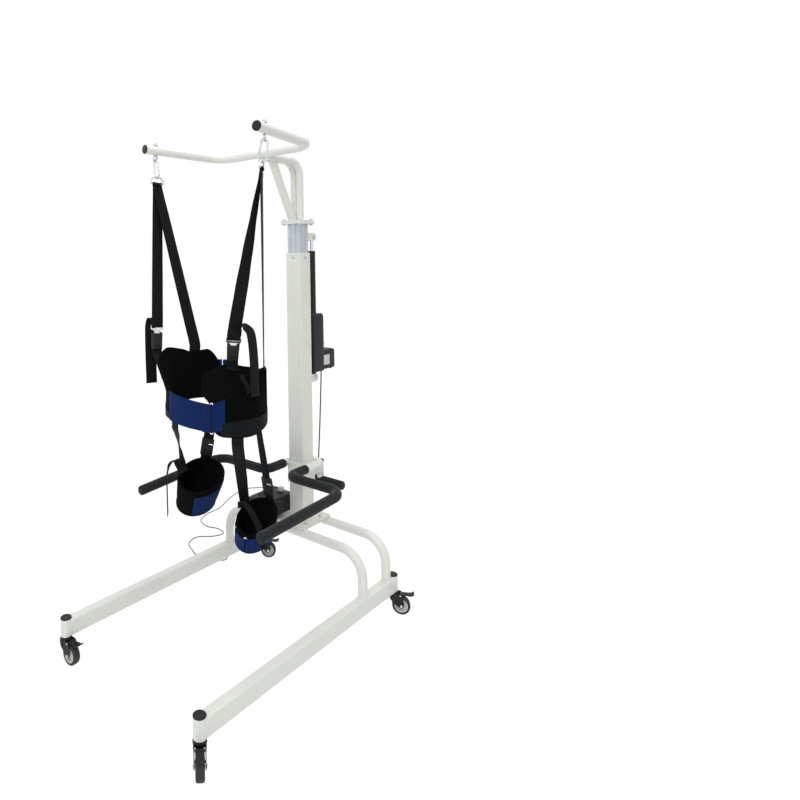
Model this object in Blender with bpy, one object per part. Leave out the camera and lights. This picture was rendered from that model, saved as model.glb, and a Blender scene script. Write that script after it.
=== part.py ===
"""Gait trainer: wheeled base, telescopic mast with a linear actuator, overhead
spreader bar, handlebars and a suspended pelvic harness with two thigh cuffs.

Metres, +Z up. The Z axis is the mast's own axis and z = 0 is the floor. The two
legs run along Y with their free ends at -Y; the walker faces -Y, so the walker's
left side is +X.
"""
import math

import bmesh
import bpy
from mathutils import Matrix, Vector

# Fineness of round shapes
TUBE_SIDES = 10
BEND_STEPS = 4

# Clearances
GAP = 0.0003            # between neighbouring pieces
SLIDE = 0.0006          # between sliding profiles
SEAT_GAP = 0.0004       # between a webbing end and the edge that it is sewn to

# Mast's axis from the middle of the trainer's outline
MAST_X = -0.030
MAST_Y = 0.413

# Base
LEG_SPACING = 0.736     # between the axes of the two legs
LEG_WIDTH = 0.040
LEG_HEIGHT = 0.060
LEG_WALL = 0.0025
LEG_BOTTOM = 0.095      # underside of the legs above the floor
FRONT_SOCKET_Y = -0.991
REAR_SOCKET_Y = 0.143
SOCKET_RADIUS = 0.019
SOCKET_RISE = 0.004     # socket above the top of the leg
STEM_RADIUS = 0.0060
STEM_LENGTH = 0.045
VENT_RADIUS = 0.003
CAP_HEIGHT = 0.007
WELD_SINK = 0.0015      # how far a welded piece runs into its neighbour

# Arches over the legs
ARCH_RADIUS = 0.019
TUBE_WALL = 0.002
ARCH_FRONT_Y = -0.092
ARCH_REAR_Y = 0.088
ARCH_Z = 0.322          # axis of the level run
ARCH_BEND = 0.095

# Foot plate and mast
PLATE_HALF_WIDTH = 0.090
PLATE_FRONT_LAP = 0.014
PLATE_REAR_LAP = 0.006
PLATE_THICKNESS = 0.006
FOOT_BOLT_X = 0.068
FOOT_BOLT_FRONT_Y = -0.064
FOOT_BOLT_REAR_Y = 0.045
BOLT_SHANK = 0.0040
BOLT_HEAD = 0.0078
BOLT_HEAD_HEIGHT = 0.0055
MAST_SIDE = 0.080
MAST_WALL = 0.003
MAST_CORNER = 0.006
MAST_TOP = 1.537
GUIDE_SCREW_DROP = 0.020
GUIDE_SCREW_HEAD = 0.0040
BUSH_HEIGHT = 0.060

# Lifting column
COLUMN_SIDE = 0.068
COLUMN_WALL = 0.003
COLUMN_CORNER = 0.004
COLUMN_GROOVE_WIDTH = 0.004
COLUMN_GROOVE_DEPTH = 0.0012
COLUMN_GROOVE_AT = 0.015
COLUMN_BOTTOM = 0.780
COLUMN_TOP = 1.668
HEAD_PLATE_SIDE = 0.112
HEAD_PLATE_THICKNESS = 0.008
HEAD_BOLT_AT = 0.044

# Gooseneck and spreader bar
NECK_RADIUS = 0.016
NECK_SPLIT = 0.0166     # half the distance between the two neck tubes
NECK_RUN_Z = 1.953      # axis of the level run
NECK_BEND = 0.070
BRACE_RADIUS = 0.018
BRACE_FOOT_Y = -0.036
BRACE_HEAD_Y = -0.180
SPREADER_RADIUS = 0.019
SPREADER_CORNER_X = 0.258
SPREADER_CORNER_Y = -0.251
SPREADER_CORNER_Z = NECK_RUN_Z + 0.015
SPREADER_END_X = 0.312
SPREADER_END_Y = -0.631
SPREADER_END_Z = SPREADER_CORNER_Z + 0.011
SPREADER_BEND = 0.055
EYE_SETBACK = 0.050     # eyebolt behind the end of the arm
EYE_SHANK = 0.0040
EYE_RING = 0.0110       # ring radius to the middle of its wire
EYE_WIRE = 0.0038
EYE_FLANGE = 0.0105
EYE_DROP = 0.0005       # ring below the tube, and flange above it

# Actuator
ACT_Y = 0.101
ACT_TUBE_RADIUS = 0.018
ACT_TUBE_WALL = 0.003
ACT_TUBE_BOTTOM = 1.112
ACT_TUBE_TOP = 1.546
ACT_ROD_RADIUS = 0.010
ACT_ROD_BOTTOM = 1.170
ACT_HOUSING_TOP = 1.250
ACT_HOUSING_BOTTOM = 0.985
ACT_HOUSING_HALF_X = 0.034
ACT_HOUSING_FRONT = 0.040
ACT_HOUSING_REAR = 0.047
MOTOR_REAR_Y = 0.236
MOTOR_TOP = 1.082
MOTOR_BOTTOM = 0.990
MOTOR_HALF_X = 0.033
UPPER_PIN_Z = 1.611
LOWER_PIN_Z = 0.959
PIN_RADIUS = 0.0060
EYE_END_RADIUS = 0.014
EYE_END_HALF_X = 0.009
LUG_INNER_X = 0.0125
LUG_THICKNESS = 0.004
LUG_RADIUS = 0.018

# Handlebars
COLLAR_SIDE = 0.092
COLLAR_BOTTOM = 0.504
COLLAR_TOP = 0.594
BAR_RADIUS = 0.0160
BAR_Z = 0.583
BAR_REAR_Y = 0.076
BAR_CROSS_Y = -0.172
BAR_CORNER_X = 0.337
BAR_END_X = 0.326
BAR_END_Y = -0.655
BAR_END_DROP = 0.024
BAR_INNER_BEND = 0.030
BAR_OUTER_BEND = 0.060
FOAM_RADIUS = 0.0195
FOAM_END = 0.008        # closed foam past the end of the bar
FOAM_BORE = BAR_RADIUS + GAP
POST_Y = 0.146
POST_RADIUS = 0.016
POST_TOP = 0.562
PUSH_Z = 0.474
PUSH_HALF_LENGTH = 0.125
PUSH_BAR_RADIUS = 0.0125

# Control box
BOX_FRONT_Y = -0.196
BOX_REAR_Y = -0.010
BOX_WIDTH = 0.118
BOX_BOTTOM = 0.372
BOX_TOP = 0.448
BOX_EDGE = 0.006
CONNECTOR_X = -0.086
CONNECTOR_Y = -0.040
CONNECTOR_HEIGHT = 0.020

# Casters
WHEEL_RADIUS = 0.0375
WHEEL_WIDTH = 0.030
HUB_RADIUS = 0.0265
HUB_BOSS_RADIUS = 0.0095
HUB_RECESS = 0.006
WHEEL_ROUND = 0.004
AXLE_RADIUS = 0.0040
WHEEL_SIDES = 16        # flats of the tread, which stands on one
CASTER_TRAIL = 0.033
FORK_GAP = 0.0012       # between wheel boss and fork cheek
FORK_PLATE = 0.0028
FORK_HEAD_RADIUS = 0.022
FORK_HEAD_TOP = 0.0935
FORK_HEAD_BOTTOM = 0.0815
PEDAL_PIN_BACK = 0.030  # pedal pin from the swivel axis
PEDAL_PIN_Z = 0.0812
PEDAL_BARREL = 0.0046
PEDAL_PIN_RADIUS = 0.0022
PEDAL_LENGTH = 0.058
PEDAL_WIDTH = 0.026
PEDAL_THICKNESS = 0.0030
CASTER_HEADING = {      # degrees from +X of the way each caster trails
    "left_front": -43.0,
    "left_rear": 29.0,
    "right_front": 4.5,
    "right_rear": 35.0,
}

# Harness
CARABINER_YAW = {"left": 30.0, "right": -5.0}
CARABINER_LEAN = 6.5    # degrees inwards
HANG_CLEAR = 0.0009     # between two linked wires
CARABINER_HEIGHT = 0.092
CARABINER_WIRE = 0.0038
CARABINER_TOP_RADIUS = 0.0115
CARABINER_BOTTOM_RADIUS = 0.0165
GATE_RADIUS = 0.0032
WEB_WIDTH = 0.048
WEB_THICKNESS = 0.0026
GATE_DROP = 0.006       # gate below the top bow
GATE_CLEAR = 0.0007     # between the gate's nose and the body
GATE_LIFT = 0.010       # gate pivot above the bottom bow
DRING_WIRE = 0.0030
DRING_WIDTH = WEB_WIDTH + 0.017
DRING_HEIGHT = 0.030
LOOP_RADIUS = 0.0066    # webbing sewn round the D-ring
BUCKLE_WIDTH = 0.046
BUCKLE_LENGTH = 0.074
BUCKLE_DEPTH = 0.022
BUCKLE_EDGE = 0.004
TONGUE_THICKNESS = 0.0024
TONGUE_WIDTH = 0.022
TONGUE_REACH = 0.028
TONGUE_OFFSET = 0.0036  # tongue behind the middle of the buckle
BUTTON_WIDTH = 0.030
BUTTON_DEPTH = 0.0076
BUTTON_OFFSET = 0.0046
BUTTON_LENGTH = 0.012
BUTTON_PROUD = 0.002
BUTTON_TRAVEL = 0.003
BELT_CENTRE_Y = -0.565
BELT_A = {"left": 0.246, "right": 0.195}     # half width of the belt on each side
BELT_B = 0.158
BELT_THICKNESS = 0.012
CLOSING_THICKNESS = 0.003
CLOSING_CLEAR = 0.0009  # keeps a strap's flats off the belt's
BELT_RING_WIRE = 0.0025
RING_LAP = 1.2          # degrees that a wire ring's sides lie inside the strap's ends
CUFF_THICKNESS = 0.011

# Leads
CABLE_RADIUS = 0.0025
ACT_CABLE_RADIUS = 0.0030
PLUG_LENGTH = 0.040
PLUG_RADIUS = 0.0075


def colour(hex_code):
    """sRGB hex code to linear RGBA."""
    channels = [int(hex_code[i:i + 2], 16) / 255 for i in (0, 2, 4)]
    linear = [c / 12.92 if c <= 0.04045 else ((c + 0.055) / 1.055) ** 2.4 for c in channels]
    return (*linear, 1.0)


FINISHES = {
    "white_enamel": ("e9ebe6", 0.35, 0.0),
    "black_plastic": ("17181a", 0.45, 0.0),
    "grey_aluminium": ("8e9196", 0.35, 1.0),
    "zinc_steel": ("b9bcbb", 0.30, 1.0),
    "chrome": ("cfd2d4", 0.12, 1.0),
    "foam": ("222427", 0.85, 0.0),
    "web": ("1c1e21", 0.90, 0.0),
    "neoprene": ("232629", 0.95, 0.0),
    "blue_fabric": ("2a50b4", 0.90, 0.0),
    "tread": ("1d1e20", 0.70, 0.0),
    "red_plastic": ("b3312b", 0.40, 0.0),
    "nylon": ("efece2", 0.55, 0.0),
    "cable": ("131416", 0.60, 0.0),
}


def clear_scene():
    for obj in list(bpy.data.objects):
        bpy.data.objects.remove(obj, do_unlink=True)


def material(finish):
    found = bpy.data.materials.get(finish)
    if found:
        return found
    hex_code, roughness, metallic = FINISHES[finish]
    made = bpy.data.materials.new(finish)
    made.use_nodes = True
    shader = made.node_tree.nodes["Principled BSDF"]
    shader.inputs["Base Color"].default_value = colour(hex_code)
    shader.inputs["Roughness"].default_value = roughness
    shader.inputs["Metallic"].default_value = metallic
    made.diffuse_color = colour(hex_code)
    return made


def empty(name, at, parent=None):
    made = bpy.data.objects.new(name, None)
    made.empty_display_size = 0.03
    made.location = at
    made.parent = parent
    bpy.context.collection.objects.link(made)
    return made


def add(name, bm, finish, origin=(0, 0, 0), parent=None, smooth=40):
    """Mesh built in world axes becomes a named object with its origin at origin."""
    origin = Vector(origin)
    bmesh.ops.translate(bm, verts=bm.verts, vec=-origin)
    mesh = bpy.data.meshes.new(name)
    bm.to_mesh(mesh)
    bm.free()
    mesh.materials.append(material(finish))
    mesh.shade_smooth()
    mesh.set_sharp_from_angle(angle=math.radians(smooth))
    made = bpy.data.objects.new(name, mesh)
    if parent is None:
        made.location = origin
    else:
        made.parent = parent
        made.location = origin - parent.location
    bpy.context.collection.objects.link(made)
    return made


def boolean(target, tool_mesh, operation, name):
    """Join or cut target with a hidden tool mesh given in world axes."""
    mesh = bpy.data.meshes.new(name)
    tool_mesh.to_mesh(mesh)
    tool_mesh.free()
    tool = bpy.data.objects.new(name, mesh)
    tool.hide_render = True
    tool.display_type = "WIRE"
    bpy.context.collection.objects.link(tool)
    modifier = target.modifiers.new(name, "BOOLEAN")
    modifier.operation = operation
    modifier.object = tool
    modifier.solver = "EXACT"


def closed(bm):
    bmesh.ops.recalc_face_normals(bm, faces=bm.faces)
    bmesh.ops.triangulate(bm, faces=bm.faces)
    return bm


def merge(*parts):
    """One mesh from several, kept as separate bodies."""
    whole = bmesh.new()
    for part in parts:
        mesh = bpy.data.meshes.new("part")
        part.to_mesh(mesh)
        part.free()
        whole.from_mesh(mesh)
        bpy.data.meshes.remove(mesh)
    return whole


def moved(bm, matrix):
    bmesh.ops.transform(bm, matrix=matrix, verts=bm.verts)
    return bm


def box(low, high, edge=0.0, segments=2):
    """Rectangular block between two corners, with rounded edges if edge is set."""
    bm = bmesh.new()
    low, high = Vector(low), Vector(high)
    size = high - low
    bmesh.ops.create_cube(bm, size=1.0)
    bmesh.ops.transform(bm, matrix=Matrix.Diagonal((*size, 1.0)), verts=bm.verts)
    bmesh.ops.translate(bm, verts=bm.verts, vec=(low + high) / 2)
    if edge > 0:
        bmesh.ops.bevel(bm, geom=bm.edges, offset=edge, segments=segments, profile=0.5,
                        affect="EDGES")
    return bm


def turned(profile, segments, axis_from=(0, 0, 0), axis_to=(0, 0, 1)):
    """Solid of revolution. profile lists (radius, height) from bottom to top; a
    profile that starts and ends at radius 0 is closed, one that does not is a ring."""
    bm = bmesh.new()
    ring_profile = profile[0][0] > 0
    rings = []
    for radius, height in profile:
        if radius == 0:
            rings.append([bm.verts.new((0, 0, height))])
        else:
            rings.append([bm.verts.new((radius * math.cos(2 * math.pi * k / segments),
                                        radius * math.sin(2 * math.pi * k / segments), height))
                          for k in range(segments)])
    pairs = list(zip(rings, rings[1:]))
    if ring_profile:
        pairs.append((rings[-1], rings[0]))
    for one, two in pairs:
        for k in range(segments):
            n = (k + 1) % segments
            if len(one) == 1:
                bm.faces.new((one[0], two[n], two[k]))
            elif len(two) == 1:
                bm.faces.new((one[k], one[n], two[0]))
            else:
                bm.faces.new((one[k], one[n], two[n], two[k]))
    closed(bm)
    start, end = Vector(axis_from), Vector(axis_to)
    turn = (end - start).to_track_quat("Z", "Y").to_matrix().to_4x4()
    return moved(bm, Matrix.Translation(start) @ turn)


def bore(start, end, radius, segments=16):
    """Cutter whose flats clear a round bar of this radius by GAP."""
    return cylinder(start, end, (radius + GAP) / math.cos(math.pi / segments), segments)


def cylinder(start, end, radius, segments=16):
    length = (Vector(end) - Vector(start)).length
    return turned([(0, 0), (radius, 0), (radius, length), (0, length)], segments, start, end)


def filleted(points, radii, steps=BEND_STEPS):
    """Path through points with each inner corner rounded to its radius."""
    points = [Vector(p) for p in points]
    path = [points[0]]
    for before, corner, after, radius in zip(points, points[1:], points[2:], radii):
        a = (before - corner).normalized()
        b = (after - corner).normalized()
        half = a.angle(b) / 2
        reach = radius / math.tan(half)
        centre = corner + (a + b).normalized() * (radius / math.sin(half))
        start = corner + a * reach - centre
        sweep = math.pi - 2 * half
        normal = (corner + a * reach - centre).cross(corner + b * reach - centre).normalized()
        for k in range(steps + 1):
            path.append(centre + Matrix.Rotation(sweep * k / steps, 3, normal) @ start)
    path.append(points[-1])
    return path


def frames(path, first_side, loop=False):
    """Unit tangents and sides along a path, the side carried on without twist."""
    count = len(path)
    tangents = []
    for i in range(count):
        if loop:
            ahead, behind = path[(i + 1) % count], path[i - 1]
        else:
            ahead, behind = path[min(i + 1, count - 1)], path[max(i - 1, 0)]
        tangents.append((ahead - behind).normalized())
    side = Vector(first_side)
    sides = []
    for tangent in tangents:
        side = (side - tangent * side.dot(tangent)).normalized()
        sides.append(side)
    return tangents, sides


def section_rings(bm, path, outline, first_side, loop=False):
    """Rings of vertices: outline gives (side, up) offsets, mitred at each point."""
    path = [Vector(p) for p in path]
    tangents, sides = frames(path, first_side, loop)
    rings = []
    for i, point in enumerate(path):
        up = tangents[i].cross(sides[i])
        stretch = Vector((0, 0, 0))
        if loop or 0 < i < len(path) - 1:
            bend = (path[(i + 1) % len(path)] - point).normalized() - (point - path[i - 1]).normalized()
            if bend.length > 1e-6:
                half = math.asin(min(1.0, bend.length / 2))
                stretch = bend.normalized() * (1 / math.cos(half) - 1)
        ring = []
        for s, u in outline:
            offset = sides[i] * s + up * u
            grow = stretch.normalized() * (offset.dot(stretch.normalized()) * stretch.length) \
                if stretch.length > 1e-9 else Vector((0, 0, 0))
            ring.append(bm.verts.new(point + offset + grow))
        rings.append(ring)
    return rings


def skin(bm, one, two):
    count = len(one)
    for k in range(count):
        n = (k + 1) % count
        bm.faces.new((one[k], one[n], two[n], two[k]))


def circle(radius, sides, phase=0.0):
    return [(radius * math.cos(2 * math.pi * (k + phase) / sides),
             radius * math.sin(2 * math.pi * (k + phase) / sides)) for k in range(sides)]


def rod(path, radius, sides=TUBE_SIDES, first_side=(0, 0, 1), loop=False):
    """Solid round bar along a path."""
    bm = bmesh.new()
    rings = section_rings(bm, path, circle(radius, sides), first_side, loop)
    for one, two in zip(rings, rings[1:]):
        skin(bm, one, two)
    if loop:
        skin(bm, rings[-1], rings[0])
    else:
        bm.faces.new(rings[0])
        bm.faces.new(rings[-1])
    return closed(bm)


def pipe(path, radius, bore, sides=TUBE_SIDES, first_side=(0, 0, 1), closed_end=0.0):
    """Hollow tube along a path. With closed_end the bore stops short by that much."""
    bm = bmesh.new()
    path = [Vector(p) for p in path]
    outer = section_rings(bm, path, circle(radius, sides), first_side)
    inner_path = list(path)
    if closed_end > 0:
        inner_path[-1] = path[-1] + (path[-2] - path[-1]).normalized() * closed_end
    inner = section_rings(bm, inner_path, circle(bore, sides), first_side)
    for rings in (outer, inner):
        for one, two in zip(rings, rings[1:]):
            skin(bm, one, two)
    skin(bm, outer[0], inner[0])
    if closed_end > 0:
        bm.faces.new(outer[-1])
        bm.faces.new(inner[-1])
    else:
        skin(bm, outer[-1], inner[-1])
    return closed(bm)


def prism_tube(outer, inner, z_low, z_high):
    """Vertical hollow profile from two outlines with the same number of points."""
    bm = bmesh.new()
    rings = []
    for outline, z in ((outer, z_low), (outer, z_high), (inner, z_high), (inner, z_low)):
        rings.append([bm.verts.new((x, y, z)) for x, y in outline])
    for one, two in zip(rings, rings[1:] + rings[:1]):
        skin(bm, one, two)
    return closed(bm)


def prism(outline, z_low, z_high):
    bm = bmesh.new()
    low = [bm.verts.new((x, y, z_low)) for x, y in outline]
    high = [bm.verts.new((x, y, z_high)) for x, y in outline]
    skin(bm, low, high)
    bm.faces.new(low)
    bm.faces.new(high)
    return closed(bm)


def cut_level(bm, z):
    """Takes off what lies below z and closes the cut."""
    geom = bm.verts[:] + bm.edges[:] + bm.faces[:]
    bmesh.ops.bisect_plane(bm, geom=geom, plane_co=(0, 0, z), plane_no=(0, 0, 1), clear_inner=True)
    bmesh.ops.holes_fill(bm, edges=[e for e in bm.edges if e.is_boundary], sides=0)
    return closed(bm)


def rounded_square(side, corner, steps=3):
    points = []
    for quarter in range(4):
        start = quarter * math.pi / 2
        cx = (side / 2 - corner) * (1 if quarter in (0, 3) else -1)
        cy = (side / 2 - corner) * (1 if quarter in (0, 1) else -1)
        for k in range(steps + 1):
            angle = start + k * math.pi / 2 / steps
            points.append((cx + corner * math.cos(angle), cy + corner * math.sin(angle)))
    return points


def fastener(at, out, head_height, grip, head_radius=BOLT_HEAD, shank=BOLT_SHANK, nut=0.0):
    """Hexagon head on a surface at 'at', shank going the other way by grip, and a
    nut of height nut on its far end if nut is set."""
    out = Vector(out).normalized()
    start = Vector(at) - out * (grip + nut)
    profile = [(0, 0)]
    if nut > 0:
        profile += [(head_radius, 0), (head_radius, nut), (shank, nut)]
    else:
        profile += [(shank, 0)]
    top = grip + nut
    profile += [(shank, top), (head_radius, top), (head_radius, top + head_height),
                (0, top + head_height)]
    return turned(profile, 6, start, start + out)


# Places worked out from the driving sizes
LEG_X = LEG_SPACING / 2
LEG_TOP = LEG_BOTTOM + LEG_HEIGHT
SOCKET_TOP = LEG_TOP + SOCKET_RISE
PLATE_BOTTOM = ARCH_Z + ARCH_RADIUS - WELD_SINK
PLATE_TOP = PLATE_BOTTOM + PLATE_THICKNESS
FLANGE_BOTTOM = PLATE_TOP + GAP
FLANGE_TOP = FLANGE_BOTTOM + PLATE_THICKNESS
MAST_BORE = MAST_SIDE - 2 * MAST_WALL
HEAD_PLATE_TOP = COLUMN_TOP + HEAD_PLATE_THICKNESS
NECK_PLATE_BOTTOM = HEAD_PLATE_TOP + GAP
NECK_PLATE_TOP = NECK_PLATE_BOTTOM + HEAD_PLATE_THICKNESS
SIDES = (("left", 1), ("right", -1))


def plate_outline(corner=0.006):
    low_y = ARCH_FRONT_Y - PLATE_FRONT_LAP
    high_y = ARCH_REAR_Y + PLATE_REAR_LAP
    x = PLATE_HALF_WIDTH
    points = []
    for cx, cy, start in ((x - corner, high_y - corner, 0), (corner - x, high_y - corner, 90),
                          (corner - x, low_y + corner, 180), (x - corner, low_y + corner, 270)):
        for k in range(4):
            angle = math.radians(start + 30 * k)
            points.append((cx + corner * math.cos(angle), cy + corner * math.sin(angle)))
    return points


def foot_bolt_places():
    return [(sx * FOOT_BOLT_X, y) for y in (FOOT_BOLT_FRONT_Y, FOOT_BOLT_REAR_Y) for sx in (1, -1)]


def build_legs():
    sockets = (FRONT_SOCKET_Y, REAR_SOCKET_Y)
    rim = SOCKET_RADIUS + 0.0008
    for name, sx in SIDES:
        x = sx * LEG_X
        half = LEG_WIDTH / 2
        rings = []
        bm = bmesh.new()
        for wall, order in ((0, 1), (LEG_WALL, -1)):
            low, high = LEG_BOTTOM + wall, LEG_TOP - wall
            corners = [(x - half + wall, low), (x + half - wall, low), (x + half - wall, high),
                       (x - half + wall, high)]
            for y in sockets[::order]:
                rings.append([bm.verts.new((cx, y, cz)) for cx, cz in corners])
        for one, two in zip(rings, rings[1:] + rings[:1]):
            skin(bm, one, two)
        leg = add(f"{name}_leg", closed(bm), "white_enamel", (x, FRONT_SOCKET_Y, LEG_BOTTOM))
        profile = [(0, LEG_BOTTOM), (SOCKET_RADIUS, LEG_BOTTOM), (SOCKET_RADIUS, SOCKET_TOP),
                   (rim, SOCKET_TOP), (rim, SOCKET_TOP + CAP_HEIGHT * 0.5),
                   (rim - 0.003, SOCKET_TOP + CAP_HEIGHT * 0.85), (0, SOCKET_TOP + CAP_HEIGHT)]
        boolean(leg, merge(*[turned(profile, 20, (x, y, 0), (x, y, 1)) for y in sockets]), "UNION",
                f"{name}_leg_sockets")
        holes = [bore((x, y, LEG_BOTTOM - 0.001), (x, y, LEG_BOTTOM + STEM_LENGTH), STEM_RADIUS)
                 for y in sockets]
        middle = sum(sockets) / 2
        holes.append(cylinder((x, middle, LEG_BOTTOM - 0.001),
                              (x, middle, LEG_BOTTOM + 2 * LEG_WALL), VENT_RADIUS, 12))
        boolean(leg, merge(*holes), "DIFFERENCE", f"{name}_leg_holes")


def arch(y):
    foot = LEG_TOP + GAP
    path = filleted([(-LEG_X, y, foot), (-LEG_X, y, ARCH_Z), (LEG_X, y, ARCH_Z), (LEG_X, y, foot)],
                    (ARCH_BEND, ARCH_BEND))
    return pipe(path, ARCH_RADIUS, ARCH_RADIUS - TUBE_WALL, first_side=(0, 1, 0))


def build_arch_frame():
    """Two bent tubes with the mast's foot plate welded across them."""
    frame = add("arch_frame", prism(plate_outline(), PLATE_BOTTOM, PLATE_TOP), "white_enamel",
                (0, 0, PLATE_BOTTOM))
    boolean(frame, merge(arch(ARCH_FRONT_Y), arch(ARCH_REAR_Y)), "UNION", "arch_tubes")
    holes = [bore((x, y, PLATE_BOTTOM - 0.001), (x, y, PLATE_TOP + 0.001), BOLT_SHANK, 12)
             for x, y in foot_bolt_places()]
    boolean(frame, merge(*holes), "DIFFERENCE", "arch_frame_holes")


def build_mast():
    mast = add("outer_mast", prism_tube(rounded_square(MAST_SIDE, MAST_CORNER),
                                        rounded_square(MAST_BORE, MAST_CORNER - MAST_WALL),
                                        FLANGE_TOP - WELD_SINK, MAST_TOP), "white_enamel",
               (0, 0, FLANGE_BOTTOM))
    boolean(mast, prism(plate_outline(), FLANGE_BOTTOM, FLANGE_TOP), "UNION", "mast_flange")
    lugs = [lug(sx * (LUG_INNER_X + LUG_THICKNESS / 2), MAST_SIDE / 2 - WELD_SINK, ACT_Y,
                LOWER_PIN_Z) for _, sx in SIDES]
    boolean(mast, merge(*lugs), "UNION", "mast_lugs")
    drop = PLATE_THICKNESS + GAP
    bolts = [fastener((x, y, FLANGE_TOP - WELD_SINK), (0, 0, 1), BOLT_HEAD_HEIGHT + WELD_SINK,
                      drop + PLATE_THICKNESS - WELD_SINK + GAP, nut=BOLT_HEAD_HEIGHT)
             for x, y in foot_bolt_places()]
    for quarter in range(4):
        direction = Matrix.Rotation(quarter * math.pi / 2, 3, "Z") @ Vector((1, 0, 0))
        at = direction * (MAST_SIDE / 2 - WELD_SINK) + Vector((0, 0, MAST_TOP - GUIDE_SCREW_DROP))
        bolts.append(cylinder(at, at + direction * (GUIDE_SCREW_HEAD + WELD_SINK), 0.0062, 6))
    boolean(mast, merge(*bolts), "UNION", "mast_bolts")
    reach = LUG_INNER_X + LUG_THICKNESS + 0.001
    boolean(mast, bore((-reach, ACT_Y, LOWER_PIN_Z), (reach, ACT_Y, LOWER_PIN_Z), PIN_RADIUS),
            "DIFFERENCE", "mast_pin_bore")
    add("lower_actuator_pin", pin(LOWER_PIN_Z), "zinc_steel", (0, ACT_Y, LOWER_PIN_Z))
    bush = prism_tube(rounded_square(MAST_BORE - 2 * GAP, MAST_CORNER - MAST_WALL),
                      rounded_square(COLUMN_SIDE + 2 * SLIDE, COLUMN_CORNER),
                      MAST_TOP - BUSH_HEIGHT, MAST_TOP - GAP)
    add("mast_guide_bush", bush, "nylon", (0, 0, MAST_TOP - BUSH_HEIGHT))


def lug(x, y_from, y_pin, z):
    """Ear standing out of a face at y_from, rounded about its pin."""
    half = LUG_THICKNESS / 2
    outline = [(y_from, z - LUG_RADIUS), (y_from, z + LUG_RADIUS)]
    outline += [(y_pin + LUG_RADIUS * math.sin(math.radians(a)),
                 z + LUG_RADIUS * math.cos(math.radians(a))) for a in range(0, 181, 30)]
    bm = bmesh.new()
    faces = [[bm.verts.new((x + d, y, zz)) for y, zz in outline] for d in (-half, half)]
    skin(bm, *faces)
    bm.faces.new(faces[0])
    bm.faces.new(faces[1])
    return closed(bm)


def pin(z):
    """Clevis pin with a head and a lock nut, across a pair of lugs."""
    reach = LUG_INNER_X + LUG_THICKNESS + GAP
    head = 0.005
    radius = PIN_RADIUS + 0.004
    return turned([(0, 0), (radius, 0), (radius, head), (PIN_RADIUS, head),
                   (PIN_RADIUS, head + 2 * reach), (radius, head + 2 * reach),
                   (radius, 2 * head + 2 * reach), (0, 2 * head + 2 * reach)], 16,
                  (-reach - head, ACT_Y, z), (reach, ACT_Y, z))


def column_outline():
    """Square profile with two shallow grooves in each face."""
    half = COLUMN_SIDE / 2
    deep = half - COLUMN_GROOVE_DEPTH
    g = COLUMN_GROOVE_WIDTH / 2
    face = [(half, -half + COLUMN_CORNER)]
    for at in (-COLUMN_GROOVE_AT, COLUMN_GROOVE_AT):
        face += [(half, at - g), (deep, at - g), (deep, at + g), (half, at + g)]
    face.append((half, half - COLUMN_CORNER))
    points = []
    for quarter in range(4):
        c, s = math.cos(quarter * math.pi / 2), math.sin(quarter * math.pi / 2)
        points += [(x * c - y * s, x * s + y * c) for x, y in face]
    return points


def build_column():
    outer = column_outline()
    inner = spread_on_square(len(outer), COLUMN_SIDE / 2 - COLUMN_WALL)
    column = add("lifting_column", prism_tube(outer, inner, COLUMN_BOTTOM, COLUMN_TOP + WELD_SINK),
                 "grey_aluminium", (0, 0, COLUMN_BOTTOM))
    boolean(column, prism(rounded_square(HEAD_PLATE_SIDE, 0.008), COLUMN_TOP, HEAD_PLATE_TOP),
            "UNION", "column_head_plate")
    lugs = [lug(sx * (LUG_INNER_X + LUG_THICKNESS / 2), COLUMN_SIDE / 2 - COLUMN_GROOVE_DEPTH
                - WELD_SINK / 2, ACT_Y, UPPER_PIN_Z) for _, sx in SIDES]
    boolean(column, merge(*lugs), "UNION", "column_lugs")
    grip = HEAD_PLATE_THICKNESS + 2 * GAP + WELD_SINK
    bolts = [fastener((x, y, NECK_PLATE_TOP + GAP), (0, 0, 1), BOLT_HEAD_HEIGHT, grip)
             for x, y in head_bolt_places()]
    bolts += [cylinder((x, y, COLUMN_TOP - BOLT_HEAD_HEIGHT), (x, y, COLUMN_TOP + WELD_SINK),
                       BOLT_HEAD, 6) for x, y in head_bolt_places()]
    boolean(column, merge(*bolts), "UNION", "head_bolts")
    reach = LUG_INNER_X + LUG_THICKNESS + 0.001
    boolean(column, bore((-reach, ACT_Y, UPPER_PIN_Z), (reach, ACT_Y, UPPER_PIN_Z), PIN_RADIUS),
            "DIFFERENCE", "column_pin_bore")
    add("upper_actuator_pin", pin(UPPER_PIN_Z), "zinc_steel", (0, ACT_Y, UPPER_PIN_Z))


def spread_on_square(count, bore):
    """Points evenly along a square's sides, starting at its -Y end of the +X side."""
    spread = []
    for index in range(count):
        quarter, place = divmod(index, count // 4)
        along = -bore + 2 * bore * (place + 0.5) / (count // 4)
        c, s = math.cos(quarter * math.pi / 2), math.sin(quarter * math.pi / 2)
        spread.append((bore * c - along * s, bore * s + along * c))
    return spread


def head_bolt_places():
    return [(sx * HEAD_BOLT_AT, sy * HEAD_BOLT_AT) for sx in (1, -1) for sy in (1, -1)]


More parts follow.
